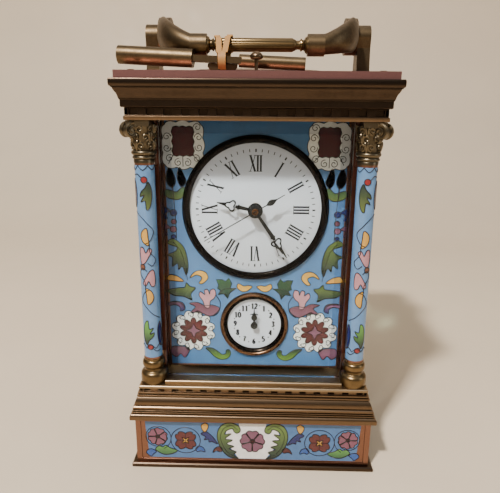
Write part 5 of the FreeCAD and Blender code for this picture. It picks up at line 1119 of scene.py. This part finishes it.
def pierced_hand(name, node, body, length, turn_by, clover, boss):
    """A blued hand with a pierced trefoil, a small cross bar and a fine point."""
    low, high = span(node)
    near, far = -low.y, -high.y
    piece = Piece(name)
    parts = [prism(strip([(0, boss * 0.6), (0, clover - 3.2), (0, clover - 1.8)], [0.55, 0.8, 0.5]), far,
                   near)]
    parts.append(prism(strip([(-1.0, clover - 3.1), (1.0, clover - 3.1)], [0.3, 0.3]), far, near))
    parts.append(clover_loop((0, clover), 1.75, 0.34, near, far))
    parts.append(prism(strip([(0, clover + 2.1), (0, clover + 3.4), (0, length)], [0.7, 0.5, 0.12]), far,
                       near))
    parts.append(lathe([(0.0, far), (boss, far), (boss, near), (0.0, near)], (0, 0, 0), "f", 32))
    for part in parts:
        piece.add(on_hand(part, turn_by, MAIN_DIAL), BLACK)
    piece.make(body, "hand_black", node, bevel=0.05)


def hands():
    pierced_hand("hour_hand_pierced", "hour_hand", "hour", 15.4, 282.0, 9.8, 3.0)
    pierced_hand("minute_hand_pierced", "minute_hand", "minute", 22.6, 145.5, 15.6, 2.6)
    low, high = span("seconds_hand")
    near, far = -low.y, -high.y
    piece = Piece("seconds_hand_sweep")
    drop = [(0.18, -5.2), (0.7, -5.9), (1.15, -7.0), (1.0, -8.0), (0.5, -8.9), (0.2, -9.8), (0.12, -13.2)]
    outline = [(0.12, 23.4), (0.2, 2.0)] + drop
    outline = outline + [(-u, v) for u, v in outline[::-1]]
    piece.add(on_hand(prism(outline, far, near), 239.0, MAIN_DIAL), BLACK)
    boss = [(0.0, far), (2.3, far), (2.3, near - 0.1), (1.6, near), (1.3, near)]
    rivet = [(1.3, near), (0.95, near + 0.02), (0.7, near - 0.1), (0.0, near - 0.1)]
    for profile, metal_of in ((boss, BLACK), (rivet, ALARM_BRASS)):
        piece.add(lathe(profile, (0, 0, MAIN_DIAL[1]), "f", 28), metal_of)
    piece.make("seconds", "hand_black", "seconds_hand", bevel=0.03)
    low, high = span("alarm_hand")
    near, far = -low.y, -high.y
    piece = Piece("alarm_hand_spade")
    outline = [(0.4, 1.0), (0.36, 2.2), (1.15, 3.0), (1.25, 3.8), (0.6, 5.0), (0.26, 6.0), (0.14, 7.6)]
    outline = outline + [(-u, v) for u, v in outline[::-1]]
    piece.add(on_hand(prism(outline, far, near), 0.0, ALARM_DIAL), BLACK)
    barb = strip([(-1.7, 4.9), (0, 5.3), (1.7, 4.9)], [0.08, 0.24, 0.08])
    piece.add(on_hand(prism(barb, far, near), 0.0, ALARM_DIAL), BLACK)
    piece.add(lathe([(0.0, far), (1.5, far), (1.5, near), (0.0, near)], (0, 0, ALARM_DIAL[1]), "f", 28),
              BLACK)
    piece.make("alarm_hand", "hand_black", "alarm_hand", bevel=0.04)


# ---------------------------------------------------------------- plinth panels
def plinth_wall(piece, turns, half_x, half_y, node, foot_inset, head_inset):
    """An enamel plaque on one side of the plinth; returns its panel."""
    low, high = span(node)
    half, foot, head = high.y if turns % 2 else high.x, low.z, high.z
    wall = flat_wall(turns, half_x, half_y)
    rim = ((-half, foot), (half, foot), (half, head), (-half, head))
    piece.add(([wall(u, v, level) for level in (-0.9, 0.0) for u, v in rim], BOX_FACES), COPPER)
    panel = Panel(piece, wall)
    panel.cell([(foot_inset - half, foot + 0.4), (half - foot_inset, foot + 0.4), (half - head_inset,
                                                                                   head - 0.2),
                (head_inset - half, head - 0.2)], SKY, 1, wire=False, curved=False)
    return panel


def plinth_panels():
    for node, turns in (("plinth_panel_front", 0), ("plinth_panel_back", 2)):
        piece = Piece(node + "_enamelled")
        head = span("plinth_panel_front")[1].z
        panel = plinth_wall(piece, turns, 48.0, 41.94, "plinth_panel_front", 3.0, 1.6)
        mirrored(panel, plaque_motifs)
        cartouche = [(5.6, head - 0.3), (5.2, 17.0), (6.6, 15.9), (8.6, 17.9), (10.8, 17.0), (11.0, 12.0),
                     (8.0, 7.4), (5.6, 3.8)]
        panel.cell([(-5.6, head - 0.3)] + cartouche + [(-u, v) for u, v in cartouche[:0:-1]], WHITE, 2,
                   wire=False, curved=False)
        five_petals(panel, (0, 12.2), 5.1, MAUVE, 4, heart=MAROON)
        piece.make("case", "enamel", node)
    piece = Piece("plinth_panels_side_enamelled")
    for turns in (1, 3):
        panel = plinth_wall(piece, turns, 47.94, 42.0, "plinth_panels_side", 0.5, 0.5)
        panel.shift = (-7.0, 0.0)
        mirrored(panel, plaque_motifs)
        panel.shift = (0.0, 0.0)
        five_petals(panel, (0, 12.2), 5.1, MAUVE, 4, heart=MAROON)
    piece.make("case", "enamel", "plinth_panels_side")


# ---------------------------------------------------------------- handle, key and button
def grip():
    low, high = span("handle_grip")
    centre = (0, (low.y + high.y) / 2, (low.z + high.z) / 2)
    piece = Piece("handle_grip_reeded")
    count, ribs = 120, 20
    rows = [(-13.0, 2.15, 0.0), (-12.6, 2.35, 0.14), (12.6, 2.35, 0.14), (13.0, 2.15, 0.0)]
    points = []
    for along, radius, depth in rows:
        for step in range(count):
            angle = TAU * step / count
            reach = radius - depth * (0.5 + 0.5 * math.cos(ribs * angle))
            points.append(to_axis("x", centre, *polar((0, 0), reach, angle), along))
    ends = [list(range(count))[::-1], [(len(rows) - 1) * count + step for step in range(count)]]
    faces = skin(len(rows), count) + ends
    piece.add((points, faces), BRIGHT)
    for side in (-1, 1):
        neck = [(0, 12.9), (1.9, 12.9), (2.05, 13.2), (1.9, 13.6), (1.6, 13.9), (1.5, 14.6), (1.6, 15.3),
                (2.1, 15.5), (2.2, 15.9), (1.8, 16.2), (1.7, 16.6), (2.0, 16.9), (2.6, 17.2), (2.9, 17.7),
                (2.9, 18.0), (0, 18.0)]
        piece.add(lathe([(r, h * side) for r, h in neck], centre, "x", 40), BRIGHT)
    piece.make("handle", "bright_brass", "handle_grip", sharp=25)


def band():
    """Two turns of a flat rubber band, crossing over the grip and again round the key's plate."""
    low, high = span("rubber_band")
    middle_x = (low.x + high.x) / 2
    inset, bend, half = 3.45, 3.0, 25
    foot = Vector((0, low.y + inset, low.z + inset))
    head = Vector((0, high.y - inset, high.z - inset))
    along = (head - foot).normalized()
    side = Vector((0, -along.z, along.y))
    piece = Piece("rubber_band_turns")
    for lean in (-1, 1):
        ring = []
        for hub, start, shift in ((head, 0.0, 2.3 * lean), (foot, math.pi, 0.35 * lean)):
            for step in range(half):
                angle = start + math.pi * step / (half - 1)
                ring.append((hub, side * math.cos(angle) + along * math.sin(angle), shift))
        count = len(ring)
        points = []
        for index, (hub, out, shift) in enumerate(ring):
            eased = middle_x + (ring[index - 1][2] + shift + ring[(index + 1) % count][2]) / 3
            for across, reach in ((-1.0, -0.25), (1.0, -0.25), (1.0, 0.2), (-1.0, 0.2)):
                point = hub + out * (bend + reach + 0.12 * (1 + lean))
                points.append((eased + across, point.y, point.z))
        piece.add((points, skin(count, 4, True)), BANDRUBBER)
    piece.make("handle", "rubber_band", "rubber_band", bevel=0.08)


def button():
    piece = Piece("stop_button_turned")
    base = 157.0
    stem = [(0.0, -5.0), (0.6, -5.0), (0.6, 3.5), (1.5, 3.6), (2.1, 3.9), (2.2, 4.1), (2.05, 4.25),
            (2.2, 4.4), (2.2, 4.7), (1.95, 5.2), (1.4, 5.75), (0.7, 6.05), (0.0, 6.1)]
    piece.add(lathe(stem, (0, -41.0, base), "z", 40), ANTIQUE)
    piece.make("button", "antique_brass", "stop_button", sharp=40)


def key_wing():
    """The flat finger piece that hangs from the middle of the winding key."""
    low, high = span("winding_key")
    bar_y = low.y + (high.y - low.y) * 0.42
    wing = [(-17.0, 2.6), (-6.6, 2.2), (-6.8, 1.2), (-8.2, -0.6), (-9.4, -1.2), (-14.4, -1.0), (-15.8, -0.4),
            (-17.2, 1.4)]
    piece = Piece("winding_key_wing")
    piece.add(prism(wing, -bar_y - 0.8, -bar_y + 0.8, centre=(0, 0, low.z)), OLD_BRASS)
    piece.make("handle", "bright_brass", bevel=0.25)


def floor():
    """A plain table top that curves up into a wall behind the clock; in metres."""
    mesh = bpy.data.meshes.new("table")
    reach, back, bend, rise, steps = 3.0, 0.62, 0.3, 2.4, 12
    curve = [(-reach, 0.0), (back - bend, 0.0)]
    for step in range(1, steps + 1):
        angle = math.pi / 2 * step / steps
        curve.append((back - bend + bend * math.sin(angle), bend - bend * math.cos(angle)))
    curve.append((back, rise))
    points = [(side * reach, y, z) for y, z in curve for side in (-1, 1)]
    faces = [[2 * i, 2 * i + 1, 2 * i + 3, 2 * i + 2] for i in range(len(curve) - 1)]
    mesh.from_pydata(points, [], faces)
    mesh.materials.append(FLOOR)
    mesh.shade_smooth()
    table = bpy.data.objects.new("table", mesh)
    scene.collection.objects.link(table)


# CAD nodes that keep their own shape
KEPT = (
    (DARK_COPPER, "corner_posts"),
    (OLD_BRASS, "handle_arm_left handle_arm_right handle_post_left handle_post_right winding_key"),
    (ANTIQUE, "door_frame"),
    (BRIGHT, "door_knob"),
    (GLASS, "left_glass right_glass door_glass"),
    (GREEN_GLASS, "top_window"),
    (BELL, "bell"),
    (STEEL, "tie_rods bell_post alarm_hammer alarm_setting_arbor cannon_pinion pallet_lever"),
    (STEEL, "seconds_arbor"),
    (MOVEMENT, "front_movement_plate back_movement_plate platform_plate plate_pillars alarm_barrel"),
    (MOVEMENT, "time_barrel balance_wheel centre_arbor escape_wheel hour_wheel motion_wheel third_wheel"),
)

case_mouldings()
dentils("upper_dentils", "upper_dentil_band", 15, 3.1, 1.0, CORNICE)
dentils("lower_dentils", "lower_dentil_band", 16, 2.6, 1.0, ANTIQUE)
deck()
copper_plate()
columns()
capitals()
front_pane()
mask()
dials()
bezels()
hands()
plinth_panels()
grip()
band()
button()
key_wing()
floor()
for material, nodes in KEPT:
    for node in nodes.split():
        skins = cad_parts[node].data.materials
        skins.clear()
        skins.append(material)
